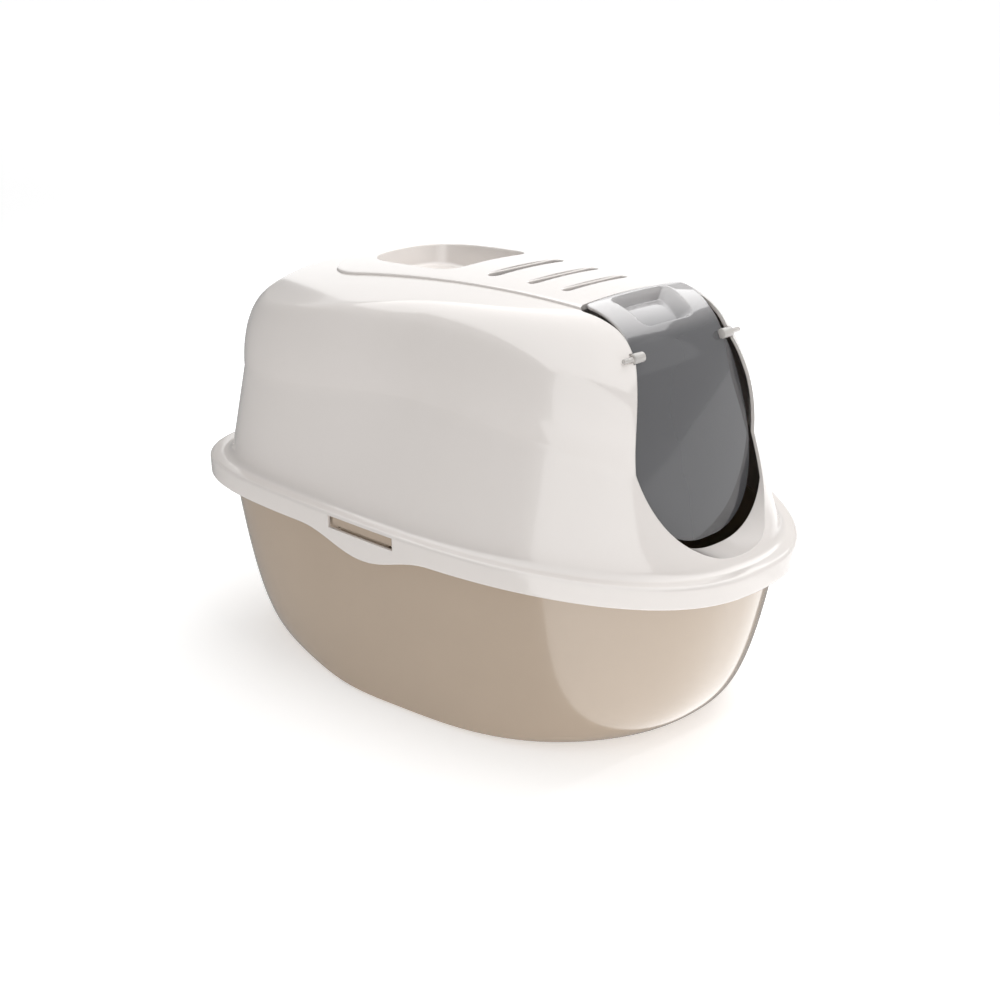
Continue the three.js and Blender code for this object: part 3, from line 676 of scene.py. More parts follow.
class Dresser:
    """Gives pieces their finishes and bodies, and hides the nodes that they stand for."""

    def __init__(self) -> None:
        """Starts with no material made."""
        self.made: dict[str, bpy.types.Material] = {}

    def material(self, finish: Finish) -> bpy.types.Material:
        """The finish's material, made on first use."""
        if finish.name not in self.made:
            self.made[finish.name] = finish.build()
        return self.made[finish.name]

    def dress(self, solid: Solid, finish: Finish, body: str, slot: str, *nodes: str) -> None:
        """Finishes a new piece.

        Args:
            solid: the piece.
            finish: its finish.
            body: the body that it rides on.
            slot: the record's material slot; not used.
            nodes: the nodes that it replaces.
        """
        solid.obj.data.materials.clear()
        solid.obj.data.materials.append(self.material(finish))
        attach(solid.obj, body)
        if nodes:
            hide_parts(*nodes)
        LOG.info("%s: %d faces on %s", solid.obj.name, len(solid.obj.data.polygons), body)

    def keep_node(self, node: str, finish: Finish) -> None:
        """Finishes a node whose own shape is right."""
        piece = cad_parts[node]
        piece.data.materials.clear()
        piece.data.materials.append(self.material(finish))
        LOG.info("%s: kept, %s", node, finish.name)


# ---- hood ---------------------------------------------------------------------------------------
@dataclass
class Hood:
    """The one-piece hood: roof, walls, flange and skirt, with its cuts and the parts under it."""

    shell: Shell = field(default_factory=Shell)
    doorway: Doorway = field(default_factory=Doorway)
    wall: float = 3.0
    skirt_bottom: float = 159.0
    dip: float = 15.0
    dip_reach: float = 72.0
    segments: int = 288
    slots: tuple = ((2.0, 41.0, 12.0), (-44.0, 38.0, 8.5), (-81.0, 35.0, 7.5))
    recess_front: float = 46.0
    recess_rear: float = 176.0
    recess_half: float = 50.0
    recess_depth: float = 24.0
    recess_draft: float = 7.0

    def directions(self) -> np.ndarray:
        """Directions round the box."""
        return np.arange(self.segments) * 2 * np.pi / self.segments - np.pi / 2

    def skirt_ring(
        self, inset: float, height: Callable[[np.ndarray], np.ndarray | float]
    ) -> np.ndarray:
        """Ring at an inset from the skirt's face, at a height that may depend on Y."""
        x, y = inset_plan(inset).at(self.directions())
        return np.stack([x, y, np.broadcast_to(height(y), y.shape)], -1)

    def edge_height(self, lift: float = 0.0) -> Callable[[np.ndarray], np.ndarray]:
        """Height of the skirt's lower edge by Y: 15 mm lower, by a cosine squared, at the latch.

        Args:
            lift: how much higher than the edge.
        Returns:
            A function that gives the height by Y.
        """

        def height(y: np.ndarray) -> np.ndarray:
            """Height at Y."""
            share = np.clip(np.abs(y - 3) / self.dip_reach, 0, 1)
            return self.skirt_bottom - self.dip * np.cos(share * np.pi / 2) ** 2 + lift

        return height

    def stages(self, roof: int, shoulder: int, wall: int) -> np.ndarray:
        """Stages from near the roof's middle to just above the wall's foot.

        Args:
            roof: stages on the roof.
            shoulder: on the shoulder.
            wall: on the wall.
        Returns:
            The stages, from 2.985 down.
        """
        parts = [
            np.linspace(2.985, 2, roof, endpoint=False),
            np.linspace(2, 1, shoulder, endpoint=False),
            np.linspace(1, 0.09, wall),
        ]
        return np.concatenate(parts)

    def skin(self) -> Solid:
        """The bare hood as one closed skin, its flange and skirt edges rounded.

        The wall runs into the flange on a quadratic curve: (1-t)^2 A + 2t(1-t) B + t^2 C, with A
        on the wall, B the corner and C on the flange.

        Returns:
            The solid.
        """
        around_box = self.directions()
        outside = self.shell.rings(self.stages(22, 34, 14), around_box)
        corner = self.skirt_ring(self.shell.flange, lambda y: self.shell.skirt_top)
        landing = self.skirt_ring(self.shell.flange - 6.5, lambda y: self.shell.skirt_top)
        share = np.linspace(0, 1, 9)[1:, None, None]
        start = outside[-1][None]
        fillet = (1 - share) ** 2 * start + 2 * share * (1 - share) * corner + share**2 * landing
        turn = np.linspace(0, np.pi / 2, 7)
        top = self.shell.skirt_top
        rows = [(3.5 * (1 - math.sin(a)), top - 3.5 * (1 - math.cos(a))) for a in turn]
        skirt = [self.skirt_ring(inset, lambda y, z=z: z) for inset, z in rows]
        for share_down in (0.3, 0.6, 0.85):
            low = self.edge_height()
            skirt.append(
                self.skirt_ring(0, lambda y, s=share_down: mix(top - 3.5, low(y) + 1.5, s))
            )
        half = np.linspace(0, np.pi, 8)
        skirt += [
            self.skirt_ring(1.5 * (1 - math.cos(a)), self.edge_height(1.5 - 1.5 * math.sin(a)))
            for a in half
        ]
        skirt.append(self.skirt_ring(3, lambda y: top - 3))
        skirt.append(self.skirt_ring(18, lambda y: top - 3))
        inside = self.shell.rings(self.stages(10, 18, 5), around_box, self.wall)[::-1]
        return loft("hood", np.concatenate([outside, fillet, np.array(skirt), inside]))

    def volume(self, inset: float) -> Solid:
        """Everything inside the shell's outer face, less an inset."""
        rings = self.shell.rings(self.stages(22, 34, 14), self.directions(), inset)
        foot = self.shell.rings(np.array([0.0]), self.directions(), inset)
        return loft("volume", np.concatenate([rings, foot]))

    def strip(self) -> Solid:
        """Raised middle strip of the roof, from the door to behind the hand recess.

        Its half-width is 56 + .03 b + .00033 b^2 at b behind the door, closing on a soft round
        end; its top is the roof sheet lifted 1.8 mm, with sides that slope in 1.5 mm.

        Returns:
            The solid.
        """
        straight = np.linspace(-124.5, 130, 70, endpoint=False)
        closing = 200 - 70 * (1 - np.sin(np.linspace(0, np.pi / 2, 40)))
        y = np.concatenate([straight, closing])
        back = y + 118.5
        end = np.clip((y - 130) / 70, 0, 1)
        half = (56 + 0.03 * back + 0.00033 * back**2) * np.sqrt(1 - 0.97 * end**2.4)
        across = np.linspace(-1, 1, 41)
        lift = np.array([-1.0, 0.2, 1.1, 1.6, 1.8])
        inset = np.array([0.0, 0.3, 0.7, 1.1, 1.6])
        left = np.stack([-(half[:, None] - inset), np.broadcast_to(lift, (len(y), 5))], -1)
        top = np.stack(
            [(half[:, None] - 1.6) * across, np.full((len(y), len(across)), 1.8)], -1
        )
        right = left[:, ::-1] * [-1, 1]
        under = np.stack([half[:, None] * across[::-1], np.full((len(y), len(across)), -1.0)], -1)
        ring = np.concatenate([left, top[:, 1:-1], right, under[:, 1:-1]], 1)
        x = ring[..., 0]
        deep = np.broadcast_to(y[:, None], x.shape)
        points = np.stack([x, deep, roof_height(x, deep) + ring[..., 1]], -1)
        return loft("strip", points)

    def recess_ring(self, inset: float, z: float | Callable) -> np.ndarray:
        """D-shaped ring: straight in front, round behind.

        Args:
            inset: how far it is moved in.
            z: its height, or a function of the ring's X and Y that gives it.
        Returns:
            N x 3 places.
        """
        count = 120
        angle = np.arange(count) * 2 * np.pi / count
        c, s = np.cos(angle), np.sin(angle)
        power = np.where(s < 0, 6.4, 3.2)
        k = (np.abs(c) ** power + np.abs(s) ** power) ** (-1 / power)
        half_length = (self.recess_rear - self.recess_front) / 2 - inset
        x = (self.recess_half - inset) * c * k
        y = (self.recess_rear + self.recess_front) / 2 + half_length * s * k
        height = z(x, y) if callable(z) else np.full(count, float(z))
        return np.stack([x, y, height], -1)

    def recess(self) -> tuple[Solid, Solid]:
        """The dish of the hand recess and its hollow, rounded at the rim and round the floor.

        Returns:
            The dish and the hollow.
        """
        floor = (
            float(roof_height(0, (self.recess_front + self.recess_rear) / 2)) - self.recess_depth
        )
        dish = loft(
            "dish",
            np.array(
                [
                    self.recess_ring(self.recess_draft - 1, floor - self.wall),
                    self.recess_ring(self.recess_draft - self.wall, floor - self.wall + 2),
                    self.recess_ring(-self.wall, lambda x, y: roof_height(x, y) - 1.2),
                ]
            ),
        )
        turn = np.linspace(0, np.pi / 2, 7)
        rings = [
            self.recess_ring(
                self.recess_draft - 0.6 + 4 * (1 - math.sin(a)), floor + 4 * (1 - math.cos(a))
            )
            for a in turn
        ]
        rings += [
            self.recess_ring(1.2 - 1.8 * (1 - math.cos(a)), self.below(1.8, a))
            for a in turn
        ]
        rings.append(self.recess_ring(-0.6, lambda x, y: roof_height(x, y) + 12))
        return dish, loft("hollow", np.array(rings))

    @staticmethod
    def below(radius: float, angle: float) -> Callable[[np.ndarray, np.ndarray], np.ndarray]:
        """Height function under the strip's top: radius * (1 - sin angle) below it."""
        return lambda x, y: roof_height(x, y) + 1.8 - radius * (1 - math.sin(angle))

    def slot(self, y: float, half_length: float, width: float) -> Solid:
        """Cutter of a vent slot with round ends, its upper edge flared to a 1.2 mm rounding.

        Args:
            y: its middle.
            half_length: half its length.
            width: its width.
        Returns:
            The cutter.
        """
        turn = np.linspace(-np.pi / 2, np.pi / 2, 16)
        radius = width / 2
        cap = np.stack([np.cos(turn), np.sin(turn)], -1)

        def ring(grow: float, height: Callable) -> np.ndarray:
            """Ring of the slot grown by a distance, at a height by X and Y."""
            right = cap * (radius + grow) + [half_length - radius, 0]
            left = -cap * (radius + grow) - [half_length - radius, 0]
            flat = np.vstack([right, left]) + [0, y]
            z = height(flat[:, 0], flat[:, 1])
            return np.column_stack([flat, np.broadcast_to(z, len(flat))])

        rings = [ring(0, lambda a, b: 341.0)]
        for angle in np.linspace(0, np.pi / 2, 6):
            drop = 1.2 * (1 - math.sin(angle))
            rings.append(
                ring(1.2 * (1 - math.cos(angle)), lambda a, b, d=drop: roof_height(a, b) + 1.8 - d)
            )
        rings.append(ring(1.2, lambda a, b: roof_height(a, b) + 8))
        return loft("slot", np.array(rings))

    def doorway_cutter(self) -> Solid:
        """Everything inside the door opening's outline."""
        lower = prism("lower", self.doorway.lower(0, 338), 1, -540, -158.5)
        upper = prism("upper", self.doorway.upper(0, -208.5), 2, 329, 386)
        return lower.act(Join.ADD, upper)

    def collar(self) -> Solid:
        """Tunnel wall round the opening, from the skin in to a slanted rear edge."""
        made = prism("collar", self.doorway.lower(3, 338), 1, -540, 0)
        slant = np.array([[-540, 178], [-182 - 0.3 * 150, 178], [-182 + 0.3 * 9, 337], [-540, 337]])
        front = prism("front", slant, 0, -205, 205)
        return made.act(Join.KEEP, self.volume(0.3), front)

    def cradles(self, side: int) -> tuple[Solid, Solid, Solid]:
        """Cradle for a door pin, and the two round-bottomed notches that it drops into.

        Args:
            side: 1 for right, -1 for left.
        Returns:
            The cradle, the boss notch and the pin notch.
        """
        y, z = self.doorway.pivot_y, self.doorway.pivot_z
        body = plain_rod("cradle", (side * 57, y, z), (side * 71.5, y, z), 5.6, 40)
        body.act(Join.KEEP, self.volume(0.3))
        cuts = []
        for start, end, half in ((42, 56.6, 4.5), (45, 69.6, 2.6)):
            turn = np.linspace(np.pi, 2 * np.pi, 17) + np.pi / 4
            low = np.stack([y + half * np.cos(turn), z + half * np.sin(turn)], -1)
            out = np.array([-math.sin(math.pi / 4), math.cos(math.pi / 4)]) * 16
            outline = np.vstack([low, low[-1] + out, low[0] + out])
            ends = sorted((side * start, side * end))
            cuts.append(prism("notch", outline, 0, *ends))
        return body, cuts[0], cuts[1]

    def window(self, side: int) -> Solid:
        """Cutter of a latch window, square to the skirt's face beside it."""
        return LatchPlace(side).block("window", (-9, -37, 164.4), (4, 37, 175.4))

    def under_roof(self) -> list[Solid]:
        """The two hooks and the catch that hold the filter tray.

        Returns:
            The hooks and the catch.
        """
        level = 355.3
        axis_z, axis_y = level - 5.5, 21.1
        parts = []
        for side in (-1, 1):
            near, far = side * 46, side * 48.4
            eye = plain_rod("eye", (near, axis_y, axis_z), (far, axis_y, axis_z), 4.2)
            top = float(roof_height(46, axis_y)) - 1.5
            arm = block(
                "arm", (min(near, far), axis_y - 2, axis_z), (max(near, far), axis_y + 4.2, top)
            )
            bore = plain_rod("bore", (side * 44, axis_y, axis_z), (side * 52, axis_y, axis_z), 1.95)
            parts.append(eye.act(Join.ADD, arm).act(Join.CUT, bore))
        roof = float(roof_height(9, -99)) - 2
        parts.append(block("catch", (-9, -102.5, level - 10), (9, -99, roof)))
        return parts

    def build(self, dresser: Dresser) -> None:
        """Makes the hood and dresses it.

        Args:
            dresser: what dresses it.
        """
        dish, hollow = self.recess()
        hood = self.skin().act(Join.ADD, self.strip(), dish).act(Join.CUT, hollow)
        hood.act(Join.ADD, self.collar()).act(Join.CUT, self.doorway_cutter())
        hood.act(Join.CUT, *(self.slot(*size) for size in self.slots))
        hood.act(Join.CUT, self.window(1), self.window(-1))
        for side in (1, -1):
            body, boss_notch, pin_notch = self.cradles(side)
            hood.act(Join.ADD, body).act(Join.CUT, boss_notch, pin_notch)
        hood.act(Join.ADD, *self.under_roof())
        hood.smooth(24)
        dresser.dress(hood, WHITE_POLYPROPYLENE, "hood", "hood_plastic", "hood_shell")


# ---- latches ------------------------------------------------------------------------------------
@dataclass(frozen=True)
class LatchPlace:
    """Frame beside a side window: +X out of the skirt, +Y to the rear."""

    side: int

    def turn(self) -> tuple[np.ndarray, float]:
        """Middle of the window on the right-hand skirt face, and the way that it faces.

        Returns:
            The middle in X and Y, and an angle.
        """
        plan = inset_plan(0)
        directions = (np.arange(2001) / 2000 - 0.5) * 1.2
        x, y = plan.at(directions)
        best = directions[np.argmin(np.abs(y - 3))]
        near_x, near_y = plan.at(np.array([best, best + 0.02, best - 0.02]))
        angle = math.atan2(near_y[1] - near_y[2], near_x[1] - near_x[2]) - math.pi / 2
        return np.array([near_x[0], near_y[0]]), angle

    def move(self, points: np.ndarray) -> np.ndarray:
        """Places in the window's frame as places on the box.

        Args:
            points: places in the window's frame.
        Returns:
            Places on the box.
        """
        place, angle = self.turn()
        c, s = math.cos(angle), math.sin(angle)
        x = place[0] + points[..., 0] * c - points[..., 1] * s
        y = place[1] + points[..., 0] * s + points[..., 1] * c
        return np.stack([self.side * x, y, points[..., 2]], -1)

    def block(self, name: str, low: Sequence[float], high: Sequence[float]) -> Solid:
        """Box given in the window's frame."""
        ring = np.array(
            [[low[0], low[1]], [high[0], low[1]], [high[0], high[1]], [low[0], high[1]]]
        )
        rings = np.array([np.column_stack([ring, np.full(4, z)]) for z in (low[2], high[2])])
        points = self.move(rings).reshape(-1, 3)
        return Solid(name, points, ring_faces(2, 4) + [[3, 2, 1, 0], [4, 5, 6, 7]])

    def rod(self, name: str, out: float, reach: float, z: float, radius: float) -> Solid:
        """Cylinder along the window's frame Y."""
        ends = self.move(np.array([[out, -reach, z], [out, reach, z]]))
        return plain_rod(name, ends[0], ends[1], radius, 40)


@dataclass
class Latch:
    """Press latch: a rounded pad in the window, a plate behind the skirt, a barrel on the pin."""

    side: int
    face: float = -3.4
    half_length: float = 35.7
    low: float = 165.7
    high: float = 174.1
    axis_out: float = -7.2
    axis_z: float = 154.9
    reach: float = 26.7

    def pad(self, place: LatchPlace) -> Solid:
        """Pad as rounded rings stacked outwards: a rounded rectangle, its front edge turned in.

        Args:
            place: the window's frame.
        Returns:
            The pad.
        """
        angle = np.linspace(0, 2 * np.pi, 64, endpoint=False) + 1e-6
        c, s = np.cos(angle), np.sin(angle)
        rings = []
        for inset, out in ((0, -3.0), (0, -1.0), (0.15, -0.5), (0.5, -0.15), (1.0, 0.0)):
            radius = 2.4
            half_y = self.half_length - inset - radius
            half_z = (self.high - self.low) / 2 - inset - radius
            y = np.sign(c) * half_y + radius * c
            z = (self.high + self.low) / 2 + np.sign(s) * half_z + radius * s
            rings.append(np.stack([np.full(64, self.face + out), y, z], -1))
        return loft("pad", place.move(np.array(rings)))

    def build(self, dresser: Dresser) -> None:
        """Makes the latch and dresses it.

        Args:
            dresser: what dresses it.
        """
        place = LatchPlace(self.side)
        name = "right" if self.side > 0 else "left"
        latch = self.pad(place)
        latch.obj.name = f"side_latch_{name}"
        plate = place.block(
            "plate",
            (self.axis_out - 1.2, -self.reach, self.axis_z),
            (self.face - 0.8, self.reach, self.high - 1.2),
        )
        barrel = place.rod("barrel", self.axis_out, self.reach, self.axis_z, 3.2)
        bore = place.rod("bore", self.axis_out, self.reach + 2, self.axis_z, 1.8)
        latch.act(Join.ADD, plate, barrel).act(Join.CUT, bore).smooth(35)
        dresser.dress(
            latch, TAUPE_POLYPROPYLENE, f"latch_{name}", "tub_plastic", f"latch_{name}"
        )


# ---- tub ----------------------------------------------------------------------------------------
@dataclass
class Tub:
    """The deep tub, with its rim inside the skirt, the latch ears and the foot seats."""

    wall: float = 3.0
    inset: float = 17.0
    foot_height: float = 3.0
    skirt_bottom: float = 159.0
    bulge: tuple[float, float, float] = (1.5, 6, 4.75)
    segments: int = 288
    feet: tuple = (
        ("front_left", -98.0, -96.0),
        ("front_right", 98.0, -96.0),
        ("rear_left", -161.0, 52.0),
        ("rear_right", 161.0, 52.0),
    )

    def directions(self) -> np.ndarray:
        """Directions round the box."""
        return np.arange(self.segments) * 2 * np.pi / self.segments - np.pi / 2

    def rings(self, rises: np.ndarray, inset: float) -> np.ndarray:
        """Rings of the wall: straight from the floor outline to the rim outline in plan, with a
        height of rise to a power, which makes the wall bulge.

        Args:
            rises: shares of the way up.
            inset: how far the wall is moved in.
        Returns:
            Rings of places.
        """
        rise, direction = np.meshgrid(rises, self.directions(), indexing="ij")
        top_x, top_y = inset_plan(self.inset + inset).at(direction)
        floor = Plan(175, 138, 197, 4.2, 2.1, 0.4)
        floor_x, floor_y = floor.at(direction)
        shrink = 1 - inset / np.hypot(floor_x, floor_y)
        z = mix(self.foot_height, self.skirt_bottom, rise ** around(self.bulge, direction))
        z = z + inset * (1 - rise)
        return np.stack(
            [mix(floor_x * shrink, top_x, rise), mix(floor_y * shrink, top_y, rise), z], -1
        )

    def flat_ring(self, inset: float, z: float) -> np.ndarray:
        """Ring of the overall outline at an inset and a height."""
        x, y = inset_plan(inset).at(self.directions())
        return np.stack([x, y, np.full(self.segments, z)], -1)

    def build(self, dresser: Dresser) -> None:
        """Makes the tub and its feet and dresses them.

        Args:
            dresser: what dresses it.
        """
        rises = np.linspace(0, 1, 44)
        outside = self.rings(rises, 0)
        rim = [
            (17, 171.7), (7.5, 171.7), (7, 171.2), (7, 168.0), (6.7, 167.7), (4.8, 167.7),
            (4.5, 168.0), (4.5, 173.5), (4.75, 174.2), (5.2, 174.6), (5.7, 174.7), (19, 174.7),
            (20, 173.7),
        ]
        inside = self.rings(rises[::2], self.wall)[::-1]
        rings = [outside, np.array([self.flat_ring(*row) for row in rim]), inside]
        tub = loft("tub", np.concatenate(rings))
        hollow = loft(
            "hollow",
            np.concatenate([self.rings(rises[::2], self.wall), [self.flat_ring(20, 180)]]),
        )
        for side in (1, -1):
            place = LatchPlace(side)
            tub.act(Join.CUT, place.block("notch", (-16.5, -40, 158.4), (2, 40, 176.7)))
            for way in (-1, 1):
                near, far = sorted((way * 27.7, way * 32.7))
                ear = place.block("ear", (-23, near, 151.5), (-4.8, far, 158.3))
                bore = place.rod("bore", -7.2, 34.7, 154.9, 1.8)
                ear.act(Join.CUT, bore)
                tub.act(Join.ADD, ear)
        tub.act(Join.CUT, hollow)
        for _, x, y in self.feet:
            tub.act(Join.CUT, plain_rod("seat", (x, y, 2), (x, y, 4.4), 11.4, 48))
        tub.smooth(30)
        dresser.dress(tub, TAUPE_POLYPROPYLENE, "tub", "tub_plastic", "base_pan")
        for name, x, y in self.feet:
            foot = rod(
                f"rubber_foot_{name}", (x, y, 0), (x, y, 4.1), rounded_profile(4.1, 11, 0.9), 56
            )
            foot.smooth(40)
            dresser.dress(foot, FOOT_RUBBER, "tub", "foot_plastic", f"foot_{name}")


# ---- door ---------------------------------------------------------------------------------------
@dataclass
class Door:
    """The smoked leaf, an arc over the pivots that runs into a straight lower part, and lugs."""

    doorway: Doorway = field(default_factory=Doorway)
    top_y: float = -123.0
    top_z: float = 367.3
    radius: float = 59.5
    hang: float = 13.8
    edge_x: float = 51.0
    crown: float = 0.0009
    thickness: float = 2.6
    gap: float = 2.5
    grip_rear: float = -127.5
    grip_front: float = -163.0
    grip_half: tuple[float, float] = (33.0, 28.0)
    grip_depth: float = 10.0
    grip_side: float = 9.0
    grip_end: float = 3.5
    grip_corner: float = 8.0

    def profile(self, way: np.ndarray) -> tuple[np.ndarray, np.ndarray, np.ndarray, np.ndarray]:
        """Y, Z and outward normal at a way down the profile from its top edge.

        Args:
            way: distances from the top edge.
        Returns:
            Y, Z, and the Y and Z of the normal.
        """
        end = math.pi - math.radians(self.hang)
        angle = np.minimum(math.pi / 2 + way / self.radius, end)
        straight = np.maximum(way - (end - math.pi / 2) * self.radius, 0)
        out_y, out_z = np.cos(angle), np.sin(angle)
        y = self.top_y + self.radius * out_y - straight * out_z
        z = self.top_z - self.radius + self.radius * out_z + straight * out_y
        return y, z, out_y, out_z

    def half_width(self, y: np.ndarray, z: np.ndarray) -> np.ndarray:
        """Half-width of the leaf at a place on its profile, from the opening's outline.

        Args:
            y: places along Y.
            z: heights.
        Returns:
            Half-widths.
        """
        deep = self.doorway.widest - self.doorway.bottom
        spread = (deep - self.gap) / deep
        drawn = np.where(z < self.doorway.widest,
                         self.doorway.widest - (self.doorway.widest - z) / spread, z)
        wide = self.doorway.half_width_at(np.minimum(drawn, self.doorway.pivot_z))
        below = wide * (self.doorway.half_width - self.gap) / self.doorway.half_width
        lower = np.where(z < self.doorway.widest, below, wide - self.gap)
        return np.where(z > self.doorway.pivot_z, self.doorway.upper_half_width(y), lower)

    def grip_drop(self, x: np.ndarray, way: np.ndarray) -> np.ndarray:
        """Depth of the grip: a ramp from its rim, 9 mm wide at the sides and 3.5 at the ends, with
        both its corners softened and the outline's corners rounded by 8 mm.

        Args:
            x: places along X.
            way: distances from the top edge.
        Returns:
            Depths.
        """
        start = self.radius * math.asin((self.top_y - self.grip_rear) / self.radius)
        end = self.radius * math.asin((self.top_y - self.grip_front) / self.radius)
        share = np.clip((way - start) / (end - start), 0, 1)
        edge = np.minimum(way - start, end - way)
        bite = np.clip(1 - edge / self.grip_corner, 0, 1)
        rounded = self.grip_corner * (1 - np.sqrt(1 - bite * bite))
        half = mix(self.grip_half[0], self.grip_half[1], share) - rounded
        ramp = np.minimum((half - np.abs(x)) / self.grip_side, edge / self.grip_end)
        return self.grip_depth * soft_clamp(ramp, 0.06)

    def leaf(self) -> Solid:
        """Leaf as rings across it: a flat oval of the leaf's width and thickness at each way down
        the profile, bent on the crown and pressed in at the grip. Both ends run out round.

        Returns:
            The solid.
        """
        arc = (math.pi / 2 - math.radians(self.hang)) * self.radius
        low_z = self.doorway.bottom + self.gap
        out = math.radians(self.hang)
        straight_z = self.top_z - self.radius + self.radius * math.sin(out)
        total = arc + (straight_z - low_z) / math.cos(out)
        start = 9 * (1 - np.cos(np.linspace(0, np.pi / 2, 22, endpoint=False)))
        grip = np.linspace(9, 47, 64, endpoint=False)
        middle = np.linspace(47, total - 34, 64, endpoint=False)
        close = total - 34 + 34 * np.sin(np.linspace(0, np.pi / 2, 44))
        way = np.concatenate([start, grip, middle, close])
        way[0], way[-1] = 0.02, total - 0.02
        y, z, out_y, out_z = self.profile(way)
        edge = np.minimum(way, (total - way) * 3)
        half_thick = self.thickness / 2
        round_in = np.clip(1 - edge / half_thick, 0, 1)
        thick = self.thickness * np.sqrt(1 - round_in**2) * 0.98 + 0.02
        wide = np.maximum(self.half_width(y, z), 0.6)
        rim = np.minimum(thick / 2, wide / 2)
        across = np.concatenate(
            [np.linspace(-1, -0.7, 12, endpoint=False), np.linspace(-0.7, 0.7, 86, endpoint=False),
             np.linspace(0.7, 1, 13)]
        )
        turn = np.linspace(0, np.pi, 9)[1:-1]
        flat = (wide - rim)[:, None]
        top_x = flat * across
        end_x = flat + rim[:, None] * np.sin(turn)
        x = np.concatenate([top_x, end_x, -top_x, -end_x], 1)
        face = np.zeros_like(top_x)
        lift = np.concatenate(
            [face, np.cos(turn)[None] * thick[:, None] / 2 - thick[:, None] / 2,
             face - thick[:, None], -np.cos(turn)[None] * thick[:, None] / 2 - thick[:, None] / 2],
            1,
        )
        sunk = (self.thickness - thick[:, None]) / 2
        lift = lift - sunk + self.crown * (self.edge_x**2 - x * x)
        lift = lift - self.grip_drop(x, np.broadcast_to(way[:, None], x.shape))
        points = np.stack(
            [x, y[:, None] + lift * out_y[:, None], z[:, None] + lift * out_z[:, None]], -1
        )
        return loft("door_leaf", points)

    def paint_edge_highlight(self, leaf: Solid, dresser: Dresser) -> None:
        """Gives the leaf's rounded edge the paler smoked finish, a painted highlight: faces there
        look away from the profile's own normal by more than about 30 degrees.

        Args:
            leaf: the finished leaf.
            dresser: what gives the material.
        """
        mesh = leaf.obj.data
        count = len(mesh.polygons)
        centre, normal = np.zeros(count * 3), np.zeros(count * 3)
        mesh.polygons.foreach_get("center", centre)
        mesh.polygons.foreach_get("normal", normal)
        centre, normal = centre.reshape(-1, 3) / MM, normal.reshape(-1, 3)
        angle = np.arctan2(centre[:, 2] - (self.top_z - self.radius), centre[:, 1] - self.top_y)
        angle = np.where(angle < 0, np.pi, angle)
        angle = np.clip(angle, math.pi / 2, math.pi - math.radians(self.hang))
        facing = np.abs(normal[:, 1] * np.cos(angle) + normal[:, 2] * np.sin(angle))
        outer = (np.abs(centre[:, 0]) > 40) | (centre[:, 2] < 320) | (centre[:, 1] > -126)
        # Painted highlight: the rim faces get the paler copy of the smoked finish.
        mesh.materials.append(dresser.material(SMOKED_EDGE_HIGHLIGHT))
        mesh.polygons.foreach_set("material_index", ((facing < 0.87) & outer).astype(np.int32))
        mesh.update()

    def build(self, dresser: Dresser) -> None:
        """Makes the leaf and its two lugs and dresses them.

        Args:
            dresser: what dresses it.
        """
        y, z = self.doorway.pivot_y, self.doorway.pivot_z
        leaf = self.leaf()
        for side in (1, -1):
            leaf.act(
                Join.CUT, plain_rod("seat", (side * 44.7, y, z), (side * 61, y, z), 4.4, 40)
            )
        leaf.smooth(50)
        dresser.dress(leaf, SMOKED_POLYSTYRENE, "door", "smoked_plastic", "swing_door")
        # The rim gets a painted highlight: a paler copy of the smoked finish.
        self.paint_edge_highlight(leaf, dresser)
        for side, name in ((1, "right"), (-1, "left")):
            boss = [(0, 3.5), (0.012, 3.9), (0.03, 4.1), (0.42, 4.1), (0.445, 3.9), (0.458, 3.5)]
            pin = [(0.462, 2.0), (0.84, 2.0), (0.855, 1.8), (0.86, 1.4)]
            lug = rod(f"door_lug_{name}", (side * 45, y, z), (side * 69, y, z), boss + pin, 48)
            lug.smooth(40)
            dresser.dress(
                lug, MILKY_POLYPROPYLENE, "door", "clear_plastic", f"door_pivot_{name}"
            )


# ---- filter -------------------------------------------------------------------------------------
@dataclass
class Filter:
    """The charcoal pad in its tray under the vent slots."""

    puff: float = 0.35

    def build(self, dresser: Dresser) -> None:
        """Makes the pad: a flat cushion whose sides bulge a little and whose faces are crowned.

        Args:
            dresser: what dresses it.
        """
        low, high = (np.array(corner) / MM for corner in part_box("filter_pad"))
        centre, half = (low + high) / 2, (high - low) / 2
        angle = np.linspace(0, 2 * np.pi, 160, endpoint=False)
        power = 14.0
        c, s = np.cos(angle), np.sin(angle)
        k = (np.abs(c) ** power + np.abs(s) ** power) ** (-1 / power)
        rings = []
        rows = np.linspace(-np.pi / 2, np.pi / 2, 15)
        for scale in (0.3, 0.6, 0.85, 0.95):
            rings.append((scale, -1 + self.puff * 0.1 * (scale > 0.9)))
        rings += [(0.985 + 0.012 * math.cos(a), 0.97 * math.sin(a)) for a in rows]
        rings += [(scale, height * -1) for scale, height in rings[:4][::-1]]
        made = np.array(
            [
                np.stack(
                    [
                        centre[0] + half[0] * scale * c * k,
                        centre[1] + half[1] * scale * s * k,
                        np.full(160, centre[2] + half[2] * height),
                    ],
                    -1,
                )
                for scale, height in rings
            ]
        )
        pad = loft("charcoal_pad", made)
        pad.smooth(50)
        dresser.dress(pad, CHARCOAL_FOAM, "filter", "charcoal_foam", "filter_pad")
        dresser.keep_node("filter_tray", WHITE_POLYPROPYLENE)
        for side in ("left", "right"):
            dresser.keep_node(f"latch_pin_{side}", DRAWN_STEEL)


